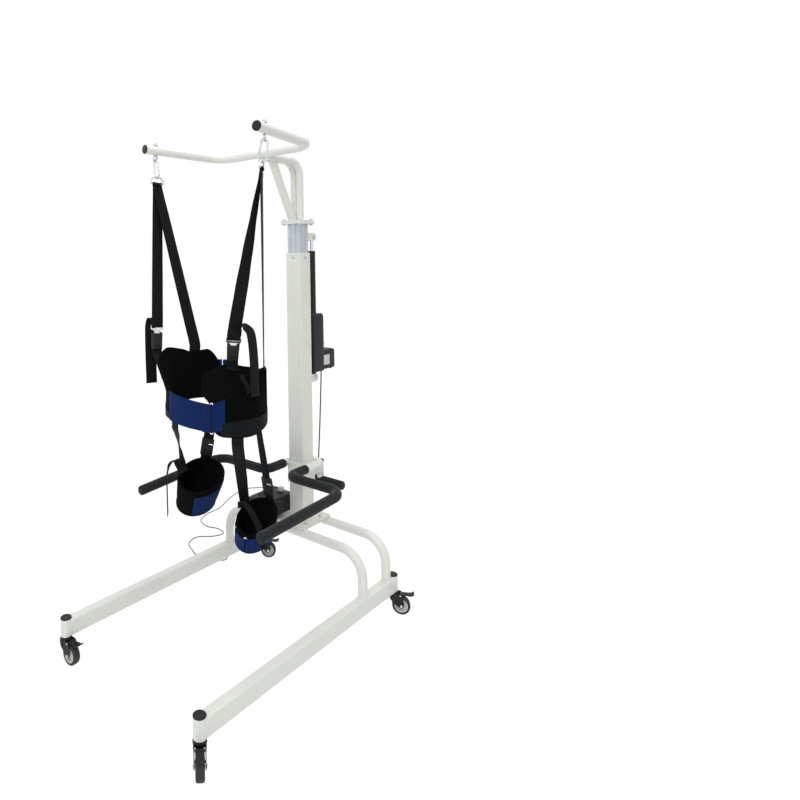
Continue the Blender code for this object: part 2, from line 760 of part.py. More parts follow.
def build_gooseneck():
    neck = add("gooseneck", prism(rounded_square(HEAD_PLATE_SIDE, 0.008), NECK_PLATE_BOTTOM,
                                  NECK_PLATE_TOP), "white_enamel", (0, 0, NECK_PLATE_BOTTOM))
    foot_z = NECK_PLATE_TOP - 0.002
    foot = Vector((0, BRACE_FOOT_Y, foot_z))
    head = Vector((0, BRACE_HEAD_Y, NECK_RUN_Z))
    brace = cut_level(rod([foot - (head - foot) * 0.1, head], BRACE_RADIUS, first_side=(1, 0, 0)),
                      foot_z)
    boolean(neck, brace, "UNION", "neck_brace")
    tubes = []
    for _, sx in SIDES:
        x = sx * NECK_SPLIT
        path = filleted([(x, 0, foot_z), (x, 0, NECK_RUN_Z), (x, SPREADER_CORNER_Y, NECK_RUN_Z)],
                        (NECK_BEND,))
        tubes.append(pipe(path, NECK_RADIUS, NECK_RADIUS - TUBE_WALL, first_side=(1, 0, 0)))
    boolean(neck, merge(*tubes), "UNION", "neck_tubes")
    cuts = [bore((x, y, NECK_PLATE_BOTTOM - 0.001), (x, y, NECK_PLATE_TOP + 0.001), BOLT_SHANK, 12)
            for x, y in head_bolt_places()]
    cuts.append(bore((-0.05, SPREADER_CORNER_Y, SPREADER_CORNER_Z),
                     (0.05, SPREADER_CORNER_Y, SPREADER_CORNER_Z), SPREADER_RADIUS, 24))
    boolean(neck, merge(*cuts), "DIFFERENCE", "neck_holes")


def spreader_points():
    return [Vector((-SPREADER_END_X, SPREADER_END_Y, SPREADER_END_Z)),
            Vector((-SPREADER_CORNER_X, SPREADER_CORNER_Y, SPREADER_CORNER_Z)),
            Vector((SPREADER_CORNER_X, SPREADER_CORNER_Y, SPREADER_CORNER_Z)),
            Vector((SPREADER_END_X, SPREADER_END_Y, SPREADER_END_Z))]


def arm_slope():
    """Rise of an arm along its length, as a share of its level run."""
    corner, end = spreader_points()[2:]
    return abs(end.z - corner.z) / math.hypot(end.x - corner.x, end.y - corner.y)


def arm_reach(half_width):
    """How far above or below an arm's axis a level piece of this half width clears it."""
    slope = arm_slope()
    return SPREADER_RADIUS * math.sqrt(1 + slope * slope) + half_width * slope + EYE_DROP


def eye_place(sx):
    """Point on an arm's axis where its eyebolt goes through."""
    _, _, corner, end = spreader_points()
    along = (corner - end).normalized()
    at = end + along * EYE_SETBACK
    return Vector((sx * at.x, at.y, at.z))


def build_spreader():
    path = filleted(spreader_points(), (SPREADER_BEND, SPREADER_BEND))
    bar = add("spreader_bar", pipe(path, SPREADER_RADIUS, SPREADER_RADIUS - TUBE_WALL),
              "white_enamel", (0, SPREADER_CORNER_Y, SPREADER_CORNER_Z))
    holes = [bore(eye_place(sx) - Vector((0, 0, 0.03)), eye_place(sx) + Vector((0, 0, 0.03)),
                  EYE_SHANK, 12) for _, sx in SIDES]
    boolean(bar, merge(*holes), "DIFFERENCE", "spreader_holes")
    inner = (SPREADER_RADIUS - TUBE_WALL) * math.cos(math.pi / TUBE_SIDES) - GAP
    for name, sx in SIDES:
        _, _, corner, end = spreader_points()
        end = Vector((sx * end.x, end.y, end.z))
        out = (end - Vector((sx * corner.x, corner.y, corner.z))).normalized()
        add(f"{name}_spreader_plug",
            turned([(0, -0.016), (inner, -0.016), (inner, GAP), (SPREADER_RADIUS, GAP),
                    (SPREADER_RADIUS, 0.003), (SPREADER_RADIUS - 0.002, 0.005), (0, 0.0055)],
                   14, end, end + out), "black_plastic", end)
        build_eyebolt(name, eye_place(sx))


def build_eyebolt(name, at):
    """Eyebolt through the arm, with a flange and a lock nut above."""
    ring_z = eye_ring_z()
    top = at.z + arm_reach(EYE_FLANGE) + GAP
    stack = [(0, ring_z + EYE_RING - 0.001), (EYE_SHANK, ring_z + EYE_RING - 0.001),
             (EYE_SHANK, top), (EYE_FLANGE, top), (EYE_FLANGE, top + 0.002), (0.0085, top + 0.002),
             (0.0085, top + 0.009), (EYE_SHANK, top + 0.009), (EYE_SHANK, top + 0.013),
             (0, top + 0.013)]
    eye = add(f"{name}_eyebolt", turned(stack, 12, (at.x, at.y, 0), (at.x, at.y, 1)), "zinc_steel",
              (at.x, at.y, ring_z))
    along, across = hanger_axes(name)
    centre = Vector((at.x, at.y, ring_z))
    loop = [centre + across * (EYE_RING * math.cos(a)) + Vector((0, 0, EYE_RING * math.sin(a)))
            for a in [2 * math.pi * k / 14 for k in range(14)]]
    boolean(eye, rod(loop, EYE_WIRE, 6, along, True), "UNION", f"{name}_eye_ring")


def hanger_axes(name):
    """Level directions of a carabiner: along its plane, and across it."""
    yaw = math.radians(CARABINER_YAW[name])
    return Vector((math.cos(yaw), math.sin(yaw), 0)), Vector((-math.sin(yaw), math.cos(yaw), 0))


def eye_ring_z():
    return eye_place(1).z - arm_reach(EYE_RING) - EYE_RING - EYE_WIRE


def build_actuator():
    height = ACT_TUBE_TOP - ACT_TUBE_BOTTOM
    guide = ACT_ROD_RADIUS + 2 * GAP
    wide = ACT_TUBE_RADIUS - ACT_TUBE_WALL
    tube = [(0, 0), (ACT_TUBE_RADIUS, 0), (ACT_TUBE_RADIUS, height), (guide, height),
            (guide, height - 0.020), (wide, height - 0.020), (wide, 0.004), (0, 0.004)]
    add("actuator_tube", turned(tube, 16, (0, ACT_Y, ACT_TUBE_BOTTOM), (0, ACT_Y, ACT_TUBE_TOP)),
        "black_plastic", (0, ACT_Y, ACT_TUBE_BOTTOM))

    low = (-ACT_HOUSING_HALF_X, ACT_Y - ACT_HOUSING_FRONT, ACT_HOUSING_BOTTOM)
    high = (ACT_HOUSING_HALF_X, ACT_Y + ACT_HOUSING_REAR, ACT_HOUSING_TOP)
    housing = add("actuator_housing", box(low, high, 0.010, 3), "black_plastic",
                  (0, ACT_Y, ACT_HOUSING_BOTTOM))
    motor = box((-MOTOR_HALF_X, ACT_Y, MOTOR_BOTTOM), (MOTOR_HALF_X, MOTOR_REAR_Y, MOTOR_TOP), 0.012, 3)
    boolean(housing, motor, "UNION", "motor_cover")
    eye = rod([(-EYE_END_HALF_X, ACT_Y, LOWER_PIN_Z), (EYE_END_HALF_X, ACT_Y, LOWER_PIN_Z)],
              EYE_END_RADIUS, 20)
    boolean(housing, eye, "UNION", "housing_eye")
    neck = box((-EYE_END_HALF_X, ACT_Y - 0.012, LOWER_PIN_Z),
               (EYE_END_HALF_X, ACT_Y + 0.012, ACT_HOUSING_BOTTOM + 0.012))
    boolean(housing, neck, "UNION", "housing_neck")
    cuts = merge(bore((0, ACT_Y, ACT_TUBE_BOTTOM - GAP), (0, ACT_Y, ACT_HOUSING_TOP + 0.001),
                      ACT_TUBE_RADIUS),
                 bore((-0.05, ACT_Y, LOWER_PIN_Z), (0.05, ACT_Y, LOWER_PIN_Z), PIN_RADIUS))
    boolean(housing, cuts, "DIFFERENCE", "housing_bores")

    rod_top = UPPER_PIN_Z - EYE_END_RADIUS + 0.004
    piston = add("actuator_rod", cylinder((0, ACT_Y, ACT_ROD_BOTTOM), (0, ACT_Y, rod_top),
                                          ACT_ROD_RADIUS, 16), "chrome", (0, ACT_Y, UPPER_PIN_Z))
    eye = rod([(-EYE_END_HALF_X, ACT_Y, UPPER_PIN_Z), (EYE_END_HALF_X, ACT_Y, UPPER_PIN_Z)],
              EYE_END_RADIUS, 20)
    boolean(piston, eye, "UNION", "rod_eye")
    boolean(piston, bore((-0.05, ACT_Y, UPPER_PIN_Z), (0.05, ACT_Y, UPPER_PIN_Z), PIN_RADIUS),
            "DIFFERENCE", "rod_bore")


def bar_corners(sx):
    x = COLLAR_SIDE / 2 + GAP + BAR_RADIUS
    return [Vector((sx * x, BAR_REAR_Y, BAR_Z)), Vector((sx * x, BAR_CROSS_Y, BAR_Z)),
            Vector((sx * BAR_CORNER_X, BAR_CROSS_Y, BAR_Z)),
            Vector((sx * BAR_END_X, BAR_END_Y, BAR_Z - BAR_END_DROP))]


def build_handlebars():
    inner = rounded_square(MAST_SIDE + 2 * SLIDE, MAST_CORNER)
    add("handlebar_collar", prism_tube(rounded_square(COLLAR_SIDE, 0.009), inner, COLLAR_BOTTOM,
                                       COLLAR_TOP), "white_enamel", (0, 0, COLLAR_BOTTOM))
    left, right = bar_corners(1), bar_corners(-1)
    cross_bend = BAR_INNER_BEND + 0.012
    path = filleted(list(reversed(left)) + right,
                    (BAR_OUTER_BEND, cross_bend, BAR_INNER_BEND, BAR_INNER_BEND, cross_bend,
                     BAR_OUTER_BEND), 3)
    add("handlebar_tube", pipe(path, BAR_RADIUS, BAR_RADIUS - TUBE_WALL, 10),
        "white_enamel", (0, 0, BAR_Z))
    for name, sx in SIDES:
        corners = bar_corners(sx)
        start = Vector((corners[0].x, -COLLAR_SIDE / 2 - GAP, BAR_Z))
        end = corners[3] + (corners[3] - corners[2]).normalized() * FOAM_END
        path = filleted([start, corners[1], corners[2], end], (cross_bend, BAR_OUTER_BEND), 3)
        add(f"{name}_handle_grip", pipe(path, FOAM_RADIUS, FOAM_BORE, 10,
                                        closed_end=FOAM_END - GAP), "foam", start)

    frame = add("push_handle_frame", cylinder((0, POST_Y, PUSH_Z), (0, POST_Y, POST_TOP),
                                              POST_RADIUS, 18), "white_enamel", (0, POST_Y, PUSH_Z))
    arm = box((-0.016, COLLAR_SIDE / 2 + GAP, POST_TOP - 0.048), (0.016, POST_Y, POST_TOP - 0.010))
    boolean(frame, arm, "UNION", "push_arm")
    reach = PUSH_HALF_LENGTH - FOAM_END
    bar = cylinder((-reach, POST_Y, PUSH_Z), (reach, POST_Y, PUSH_Z), PUSH_BAR_RADIUS, 14)
    boolean(frame, bar, "UNION", "push_bar")
    grip = add("push_handle_grip", cylinder((-PUSH_HALF_LENGTH, POST_Y, PUSH_Z),
                                            (PUSH_HALF_LENGTH, POST_Y, PUSH_Z), FOAM_RADIUS, 16),
               "foam", (0, POST_Y, PUSH_Z))
    boolean(grip, bore((0, POST_Y, PUSH_Z - 0.001), (0, POST_Y, POST_TOP), POST_RADIUS),
            "DIFFERENCE", "grip_post_hole")
    reach += GAP
    boolean(grip, bore((-reach, POST_Y, PUSH_Z), (reach, POST_Y, PUSH_Z), PUSH_BAR_RADIUS),
            "DIFFERENCE", "grip_bore")
    rim = POST_RADIUS + 0.001
    add("push_post_cap", turned([(0, 0), (rim, 0), (rim, 0.004), (rim - 0.003, 0.006), (0, 0.007)],
                                20, (0, POST_Y, POST_TOP + GAP), (0, POST_Y, 1)), "black_plastic",
        (0, POST_Y, POST_TOP))


def wheel_mesh():
    """Wheel about its own Y axis: hub with recessed faces inside a solid tread."""
    half = WHEEL_WIDTH / 2
    radius = WHEEL_RADIUS / math.cos(math.pi / WHEEL_SIDES)
    web = half - HUB_RECESS
    rim = HUB_RADIUS + 0.002
    bore = AXLE_RADIUS + GAP
    flank = half - 0.001
    tread = flank - WHEEL_ROUND
    profile = [(bore, -half), (HUB_BOSS_RADIUS, -half), (HUB_BOSS_RADIUS, -web), (HUB_RADIUS, -web),
               (rim, -flank), (radius - WHEEL_ROUND, -flank), (radius, -tread),
               (radius, tread), (radius - WHEEL_ROUND, flank), (rim, flank),
               (HUB_RADIUS, web), (HUB_BOSS_RADIUS, web), (HUB_BOSS_RADIUS, half), (bore, half)]
    wheel = turned(profile, WHEEL_SIDES, (0, 0, 0), (0, 1, 0))
    return moved(wheel, Matrix.Rotation(math.pi / WHEEL_SIDES, 4, "Y"))


def fork_parts():
    """Swivel head, stem and two cheeks, trailing along +X from the swivel axis."""
    inner = WHEEL_WIDTH / 2 + FORK_GAP
    outer = inner + FORK_PLATE
    head = turned([(0, FORK_HEAD_BOTTOM), (FORK_HEAD_RADIUS, FORK_HEAD_BOTTOM),
                   (FORK_HEAD_RADIUS, FORK_HEAD_TOP - 0.003), (FORK_HEAD_RADIUS - 0.004, FORK_HEAD_TOP),
                   (STEM_RADIUS, FORK_HEAD_TOP), (STEM_RADIUS, LEG_BOTTOM + STEM_LENGTH - 0.004),
                   (0, LEG_BOTTOM + STEM_LENGTH - 0.004)], 12)
    outline = [(-0.016, FORK_HEAD_BOTTOM + 0.003), (-0.012, 0.062),
               (CASTER_TRAIL - 0.010, WHEEL_RADIUS - 0.006), (CASTER_TRAIL, WHEEL_RADIUS - 0.010),
               (CASTER_TRAIL + 0.010, WHEEL_RADIUS - 0.004), (CASTER_TRAIL + 0.012, WHEEL_RADIUS + 0.012),
               (PEDAL_PIN_BACK + 0.007, PEDAL_PIN_Z), (PEDAL_PIN_BACK + 0.002, PEDAL_PIN_Z + 0.006),
               (0.018, PEDAL_PIN_Z + 0.006), (-0.006, PEDAL_PIN_Z + 0.006)]
    cheeks = []
    for low in (inner, -outer):
        bm = bmesh.new()
        faces = [[bm.verts.new((x, y, z)) for x, z in outline] for y in (low, low + FORK_PLATE)]
        skin(bm, *faces)
        bm.faces.new(faces[0])
        bm.faces.new(faces[1])
        cheeks.append(closed(bm))
    bridge = box((-0.014, -outer + 0.0005, FORK_HEAD_BOTTOM - 0.0010),
                 (0.020, outer - 0.0005, FORK_HEAD_BOTTOM + 0.0025))
    end = outer + 0.0018
    axle = cylinder((CASTER_TRAIL, -end, WHEEL_RADIUS), (CASTER_TRAIL, end, WHEEL_RADIUS),
                    AXLE_RADIUS, 8)
    rivet = cylinder((PEDAL_PIN_BACK, -end, PEDAL_PIN_Z), (PEDAL_PIN_BACK, end, PEDAL_PIN_Z),
                     PEDAL_PIN_RADIUS, 8)
    return head, cheeks + [bridge, axle, rivet]


def pedal_mesh():
    """Brake pedal: a bored barrel on the rivet with a lever plate trailing from it."""
    z = PEDAL_PIN_Z
    width = WHEEL_WIDTH / 2 + FORK_GAP - GAP
    barrel = turned([(PEDAL_PIN_RADIUS + GAP, -width), (PEDAL_BARREL, -width), (PEDAL_BARREL, width),
                     (PEDAL_PIN_RADIUS + GAP, width)], 10, (PEDAL_PIN_BACK, 0, z),
                    (PEDAL_PIN_BACK, 1, z))
    half = PEDAL_WIDTH / 2
    start = PEDAL_PIN_BACK + PEDAL_PIN_RADIUS + 2 * GAP
    tip = PEDAL_PIN_BACK + PEDAL_LENGTH
    plate = box((start, -half, z + 0.0008), (tip - 0.014, half, z + 0.0008 + PEDAL_THICKNESS))
    lip = box((tip - 0.0145, -half - 0.003, z - 0.002), (tip, half + 0.003, z + 0.0045), 0.0015, 1)
    return barrel, plate, lip


def build_casters():
    for name, heading in CASTER_HEADING.items():
        side, end = name.split("_")
        x = LEG_X if side == "left" else -LEG_X
        y = FRONT_SOCKET_Y if end == "front" else REAR_SOCKET_Y
        place = Matrix.Translation((x, y, 0)) @ Matrix.Rotation(math.radians(heading), 4, "Z")
        swivel = empty(f"{name}_swivel", (x, y, 0))
        head, others = fork_parts()
        fork = add(f"{name}_caster_fork", moved(head, place), "black_plastic", (x, y, FORK_HEAD_TOP),
                   swivel)
        for index, piece in enumerate(others):
            boolean(fork, moved(piece, place), "UNION", f"{name}_fork_{index}")
        hub = place @ Vector((CASTER_TRAIL, 0, WHEEL_RADIUS))
        wheel = moved(wheel_mesh(), place @ Matrix.Translation((CASTER_TRAIL, 0, WHEEL_RADIUS)))
        add(f"{name}_caster_wheel", wheel, "tread", hub, swivel)
        barrel, plate, lip = pedal_mesh()
        pivot = place @ Vector((PEDAL_PIN_BACK, 0, PEDAL_PIN_Z))
        pedal = add(f"{name}_brake_pedal", moved(barrel, place), "black_plastic", pivot, swivel)
        boolean(pedal, moved(plate, place), "UNION", f"{name}_pedal_plate")
        boolean(pedal, moved(lip, place), "UNION", f"{name}_pedal_lip")


def hang(name, bm):
    """Leans a piece hung upright below an eyebolt towards the middle."""
    _, across = hanger_axes(name)
    centre = hang_point(name)
    lean = math.radians(CARABINER_LEAN) * (1 if name == "left" else -1)
    turn = Matrix.Rotation(lean, 4, across)
    return moved(bm, Matrix.Translation(centre) @ turn @ Matrix.Translation(-centre))


def hung(name, point):
    _, across = hanger_axes(name)
    centre = hang_point(name)
    lean = math.radians(CARABINER_LEAN) * (1 if name == "left" else -1)
    return centre + Matrix.Rotation(lean, 3, across) @ (Vector(point) - centre)


def hang_point(name):
    """Middle of the carabiner's top bow, where it rests in the eyebolt's ring."""
    at = eye_place(dict(SIDES)[name])
    return Vector((at.x, at.y, eye_ring_z() - EYE_RING + EYE_WIRE + HANG_CLEAR + CARABINER_WIRE))


def ring_z_low():
    """Centre line of the carabiner's bottom bow, upright."""
    return hang_point("left").z - CARABINER_HEIGHT + 2 * CARABINER_WIRE


def dring_bar_z():
    return ring_z_low() + CARABINER_WIRE + HANG_CLEAR + DRING_WIRE - DRING_HEIGHT


def build_carabiners():
    for name, sx in SIDES:
        top = hang_point(name)
        along, across = hanger_axes(name)
        out = along * sx
        bow_top = top.z - CARABINER_TOP_RADIUS
        bow_low = ring_z_low() + CARABINER_BOTTOM_RADIUS

        def at(s, z):
            return Vector((top.x, top.y, z)) + out * s

        path = [at(-CARABINER_TOP_RADIUS, bow_top - GATE_DROP)]
        path += [at(-CARABINER_TOP_RADIUS * math.cos(a), bow_top + CARABINER_TOP_RADIUS * math.sin(a))
                 for a in [math.pi * k / 8 for k in range(9)]]
        path += [at(CARABINER_BOTTOM_RADIUS * math.cos(a), bow_low - CARABINER_BOTTOM_RADIUS * math.sin(a))
                 for a in [math.pi * k / 8 for k in range(9)]]
        path.append(at(-CARABINER_BOTTOM_RADIUS, bow_low + GATE_LIFT - GATE_RADIUS - GAP))
        add(f"{name}_carabiner", hang(name, rod(path, CARABINER_WIRE, 10, across)), "zinc_steel",
            hang_point(name))
        pivot = at(-CARABINER_BOTTOM_RADIUS, bow_low + GATE_LIFT)
        nose = at(-CARABINER_TOP_RADIUS, bow_top - GATE_DROP - GATE_CLEAR)
        length = (nose - pivot).length
        ball = [(GATE_RADIUS * math.sin(a), -GATE_RADIUS * math.cos(a))
                for a in [math.pi / 2 * k / 4 for k in range(1, 5)]]
        gate = turned([(0, -GATE_RADIUS)] + ball + [(GATE_RADIUS, length), (0, length)], 10, pivot, nose)
        add(f"{name}_carabiner_gate", hang(name, gate), "zinc_steel", hung(name, pivot))


def build_drings():
    for name, _ in SIDES:
        top = hang_point(name)
        _, across = hanger_axes(name)
        bar = dring_bar_z()
        half = DRING_WIDTH / 2
        rise = DRING_HEIGHT

        def at(s, z):
            return Vector((top.x, top.y, z)) + across * s

        corner = 0.006
        path = [at(-half + corner, bar), at(half - corner, bar), at(half - corner * 0.3, bar + corner * 0.3)]
        path += [at(half * math.cos(a), bar + corner + (rise - corner) * math.sin(a))
                 for a in [math.pi * k / 12 for k in range(13)]]
        path.append(at(-half + corner * 0.3, bar + corner * 0.3))
        along, _ = hanger_axes(name)
        add(f"{name}_d_ring", hang(name, rod(path, DRING_WIRE, 8, along, True)), "zinc_steel",
            hung(name, at(0, bar)))


def ribbon(path, widths, width=WEB_WIDTH, thickness=WEB_THICKNESS):
    """Flat webbing along a path; widths gives its crosswise direction at each point."""
    bm = bmesh.new()
    path = [Vector(p) for p in path]
    widths = [Vector(w) for w in widths]
    rings = []
    for i, point in enumerate(path):
        ahead, behind = path[min(i + 1, len(path) - 1)], path[max(i - 1, 0)]
        tangent = (ahead - behind).normalized()
        w = (widths[i] - tangent * widths[i].dot(tangent)).normalized()
        n = tangent.cross(w)
        rings.append([bm.verts.new(point + w * (sw * width / 2) + n * (sn * thickness / 2))
                      for sw, sn in ((-1, -1), (1, -1), (1, 1), (-1, 1))])
    for one, two in zip(rings, rings[1:]):
        skin(bm, one, two)
    bm.faces.new(rings[0])
    bm.faces.new(rings[-1])
    return closed(bm)


def blend_path(start, end, count, w_start, w_end):
    """Straight run with its crosswise direction turning from one end to the other."""
    start, end, w_start, w_end = Vector(start), Vector(end), Vector(w_start), Vector(w_end)
    steps = [k / (count - 1) for k in range(count)]
    return [start.lerp(end, t) for t in steps], [w_start.lerp(w_end, t) for t in steps]


# Buckles: top middle, bottom middle and crosswise direction of each
BUCKLES = {
    "left": ((0.188, -0.634, 1.207), (0.1605, -0.6115, 1.1385), (0.74, 0.64, 0.0)),
    "right": ((-0.272, -0.611, 1.216), (-0.262, -0.620, 1.143), (0.42, 0.90, 0.0)),
}


def buckle_matrix(name):
    """Buckle's own axes: X crosswise, Z up along the strap, origin at its top."""
    top, low, wide = [Vector(v) for v in BUCKLES[name]]
    up = (top - low).normalized()
    x = (wide - up * wide.dot(up)).normalized()
    y = up.cross(x)
    turn = Matrix((x, y, up)).transposed().to_4x4()
    return Matrix.Translation(top) @ turn


def build_buckles():
    for name, _ in SIDES:
        place = buckle_matrix(name)
        half = BUCKLE_WIDTH / 2
        deep = BUCKLE_DEPTH / 2
        body = add(f"{name}_buckle", moved(box((-half, -deep, -BUCKLE_LENGTH), (half, deep, 0),
                                               BUCKLE_EDGE, 2), place), "black_plastic",
                   place.translation)
        clear = GAP
        slot = box((-TONGUE_WIDTH / 2 - clear, -TONGUE_OFFSET - TONGUE_THICKNESS / 2 - clear,
                    -TONGUE_REACH - 2 * clear),
                   (TONGUE_WIDTH / 2 + clear, -TONGUE_OFFSET + TONGUE_THICKNESS / 2 + clear, 0.001))
        boolean(body, moved(slot, place), "DIFFERENCE", f"{name}_tongue_slot")
        low = BUTTON_OFFSET - BUTTON_DEPTH / 2
        high = BUTTON_OFFSET + BUTTON_DEPTH / 2
        floor = BUTTON_PROUD - BUTTON_LENGTH
        pocket = box((-BUTTON_WIDTH / 2 - clear, low - clear, floor - BUTTON_TRAVEL - 2 * clear),
                     (BUTTON_WIDTH / 2 + clear, high + clear, 0.001))
        boolean(body, moved(pocket, place), "DIFFERENCE", f"{name}_button_pocket")
        button = box((-BUTTON_WIDTH / 2, low, floor), (BUTTON_WIDTH / 2, high, BUTTON_PROUD))
        add(f"{name}_buckle_button", moved(button, place), "red_plastic",
            place @ Vector((0, BUTTON_OFFSET, BUTTON_PROUD)))


# Webbing tails below the tongues: points in order from the tongue
TAILS = {
    "left": ((0.2190, -0.6300, 1.272), (0.2370, -0.6120, 1.262), (0.2480, -0.6030, 1.235),
             (0.2540, -0.5980, 1.150), (0.2560, -0.5960, 1.020)),
    "right": ((-0.2960, -0.6120, 1.268), (-0.3080, -0.6130, 1.250), (-0.3100, -0.6150, 1.215),
              (-0.3060, -0.6170, 1.120), (-0.3000, -0.6180, 1.000)),
}
TAIL_ACROSS = {"left": (0.0, 1.0, 0.0), "right": (0.42, 0.90, 0.0)}
REAR_ANGLE = {"left": 27.0, "right": 131.0}      # where the rear leg meets the belt's rim
SEAM_RUN = 0.030        # upright end of a webbing leg at its seam
TONGUE_TOP = 0.022      # webbing starts this far above the buckle
TONGUE_PLATE = 0.054


def strap_span(t):
    """Angles that a strap's width covers about t."""
    half = math.degrees(WEB_WIDTH / 2 / BELT_B)
    return [t + half * k / 4 for k in range(-4, 5)]


def rim_seat(name, t):
    """Seat on the middle of a panel's top rim at angle t, clear of it over a strap's width."""
    at = (panel_point(name, t, 1.0) + panel_inner_point(name, t, 1.0)) / 2
    top = max(panel_point(name, u, 1.0).z for u in strap_span(t))
    return Vector((at.x, at.y, top + SEAT_GAP)), belt_tangent(t)


def hem_seat(name, t):
    """Seat under a panel's bottom edge at angle t, clear of it over a strap's width."""
    low = min(ramp(PANELS[name]["bottom"], u) for u in strap_span(t))
    at = on_belt(t, low - SEAT_GAP, -BELT_THICKNESS / 2)
    return at, belt_tangent(t)


def belt_tangent(t):
    a = math.radians(t)
    return Vector((-belt_half(t) * math.sin(a), BELT_B * math.cos(a), 0)).normalized()


def build_hanger_straps():
    """Webbing from each D-ring: one leg to the buckle's tongue, one to the belt."""
    for name, sx in SIDES:
        place = buckle_matrix(name)
        _, across = hanger_axes(name)
        bar = hung(name, Vector((hang_point(name).x, hang_point(name).y, dring_bar_z())))
        wide = place.to_3x3() @ Vector((1, 0, 0))
        foot = place @ Vector((0, -TONGUE_OFFSET, TONGUE_TOP))
        below = bar - Vector((0, 0, LOOP_RADIUS - 0.001))
        path, widths = blend_path(below, foot, 7, across, wide)
        strap = add(f"{name}_hanger_strap", ribbon(path, widths), "web", bar)
        half = WEB_WIDTH / 2
        sleeve = cylinder(bar - across * half, bar + across * half, LOOP_RADIUS, 14)
        boolean(strap, sleeve, "UNION", f"{name}_strap_loop")
        end, w_end = rim_seat(name, REAR_ANGLE[name])
        path, widths = blend_path(below, end + Vector((0, 0, SEAM_RUN)), 6, across, w_end)
        boolean(strap, ribbon(path + [end], widths + [w_end], WEB_WIDTH - 0.004), "UNION",
                f"{name}_rear_leg")
        plate = box((-TONGUE_PLATE / 2, -TONGUE_OFFSET - TONGUE_THICKNESS * 0.7, 0.006),
                    (TONGUE_PLATE / 2, -TONGUE_OFFSET + TONGUE_THICKNESS * 0.7, TONGUE_TOP + 0.005))
        boolean(strap, moved(plate, place), "UNION", f"{name}_tongue_plate")
        blade = box((-TONGUE_WIDTH / 2, -TONGUE_OFFSET - TONGUE_THICKNESS / 2, -TONGUE_REACH),
                    (TONGUE_WIDTH / 2, -TONGUE_OFFSET + TONGUE_THICKNESS / 2, 0.010))
        boolean(strap, moved(blade, place), "UNION", f"{name}_tongue_blade")
        tail = [foot + Vector((0, 0, 0.002))] + [Vector(p) for p in TAILS[name]]
        boolean(strap, ribbon(tail, [TAIL_ACROSS[name]] * len(tail), WEB_WIDTH - 0.002), "UNION",
                f"{name}_strap_tail")
        boolean(strap, bore(bar - across * 0.04, bar + across * 0.04, DRING_WIRE, 12), "DIFFERENCE",
                f"{name}_strap_bore")


def belt_half(t):
    """Half width of the belt on the side of angle t."""
    return BELT_A["left" if math.cos(math.radians(t)) > 0 else "right"]


def on_belt(t, z, offset=0.0):
    """Point at angle t in degrees on the belt's outer line, moved out by offset."""
    a = math.radians(t)
    wide = belt_half(t)
    point = Vector((wide * math.cos(a), BELT_CENTRE_Y + BELT_B * math.sin(a), z))
    normal = Vector((math.cos(a) / wide, math.sin(a) / BELT_B, 0)).normalized()
    return point + normal * offset


def ramp(table, t):
    """Value at t from rows of (t, value), eased between them."""
    if t <= table[0][0]:
        return table[0][1]
    for (t0, v0), (t1, v1) in zip(table, table[1:]):
        if t <= t1:
            u = (t - t0) / (t1 - t0)
            u = u * u * (3 - 2 * u)
            return v0 + (v1 - v0) * u
    return table[-1][1]


# Height of each panel's top rim and bottom rim by angle, and how far its top leans which way
PANELS = {
    "left": {
        "span": (-56, 112),
        "top": ((-56, 1.040), (-48, 1.070), (-40, 1.090), (-20, 1.120), (4, 1.110), (14, 1.100),
                (30, 1.105), (55, 1.085), (90, 1.076), (112, 1.050)),
        "bottom": ((-56, 0.885), (-45, 0.875), (-15, 0.875), (10, 0.890), (45, 0.920), (75, 0.940),
                   (112, 0.940)),
        "lean": ((-56, 0.060), (-48, 0.095), (-40, 0.115), (-15, 0.098), (4, 0.050), (14, 0.012),
                 (30, 0.0)),
        "way": (-1.0, 0.06, 0.0),
    },
    "right": {
        "span": (118, 262),
        "top": ((118, 1.100), (131, 1.135), (140, 1.135), (150, 1.125), (162, 1.137), (180, 1.146),
                (190, 1.143), (205, 1.118), (215, 1.085), (226, 1.055), (240, 1.015), (250, 1.000),
                (262, 0.992)),
        "bottom": ((118, 0.940), (160, 0.935), (185, 0.920), (215, 0.905), (262, 0.905)),
        "lean": ((136, 0.0), (150, 0.020), (162, 0.035), (182, 0.055), (205, 0.062), (215, 0.055),
                 (226, 0.030), (245, 0.0)),
        "way": (-1.0, 0.0, 0.0),
    },
}
BAND_TOP = 1.000
PANEL_STEP = 6.0        # degrees between the panel's columns


def panel_grid(name):
    """Outer surface of a belt panel as columns of points from bottom to top."""
    data = PANELS[name]
    first, last = data["span"]
    count = round((last - first) / PANEL_STEP) + 1
    grid = []
    for i in range(count):
        t = first + (last - first) * i / (count - 1)
        top, low, lean = (ramp(data[key], t) for key in ("top", "bottom", "lean"))
        fold = min(BAND_TOP, low + 0.6 * (top - low))
        column = []
        for z, share in ((low, 0), ((low + fold) / 2, 0), (fold, 0), (fold + (top - fold) * 0.3, 0.22),
                         (fold + (top - fold) * 0.65, 0.6), (top, 1.0)):
            column.append(on_belt(t, z) + Vector(data["way"]) * (lean * share))
        grid.append(column)
    return grid


def behind(grid, thickness):
    """Grid moved back along its own normals."""
    rows, cols = len(grid), len(grid[0])
    made = []
    for i in range(rows):
        column = []
        for j in range(cols):
            du = grid[min(i + 1, rows - 1)][j] - grid[max(i - 1, 0)][j]
            dv = grid[i][min(j + 1, cols - 1)] - grid[i][max(j - 1, 0)]
            column.append(grid[i][j] - du.cross(dv).normalized() * thickness)
        made.append(column)
    return made


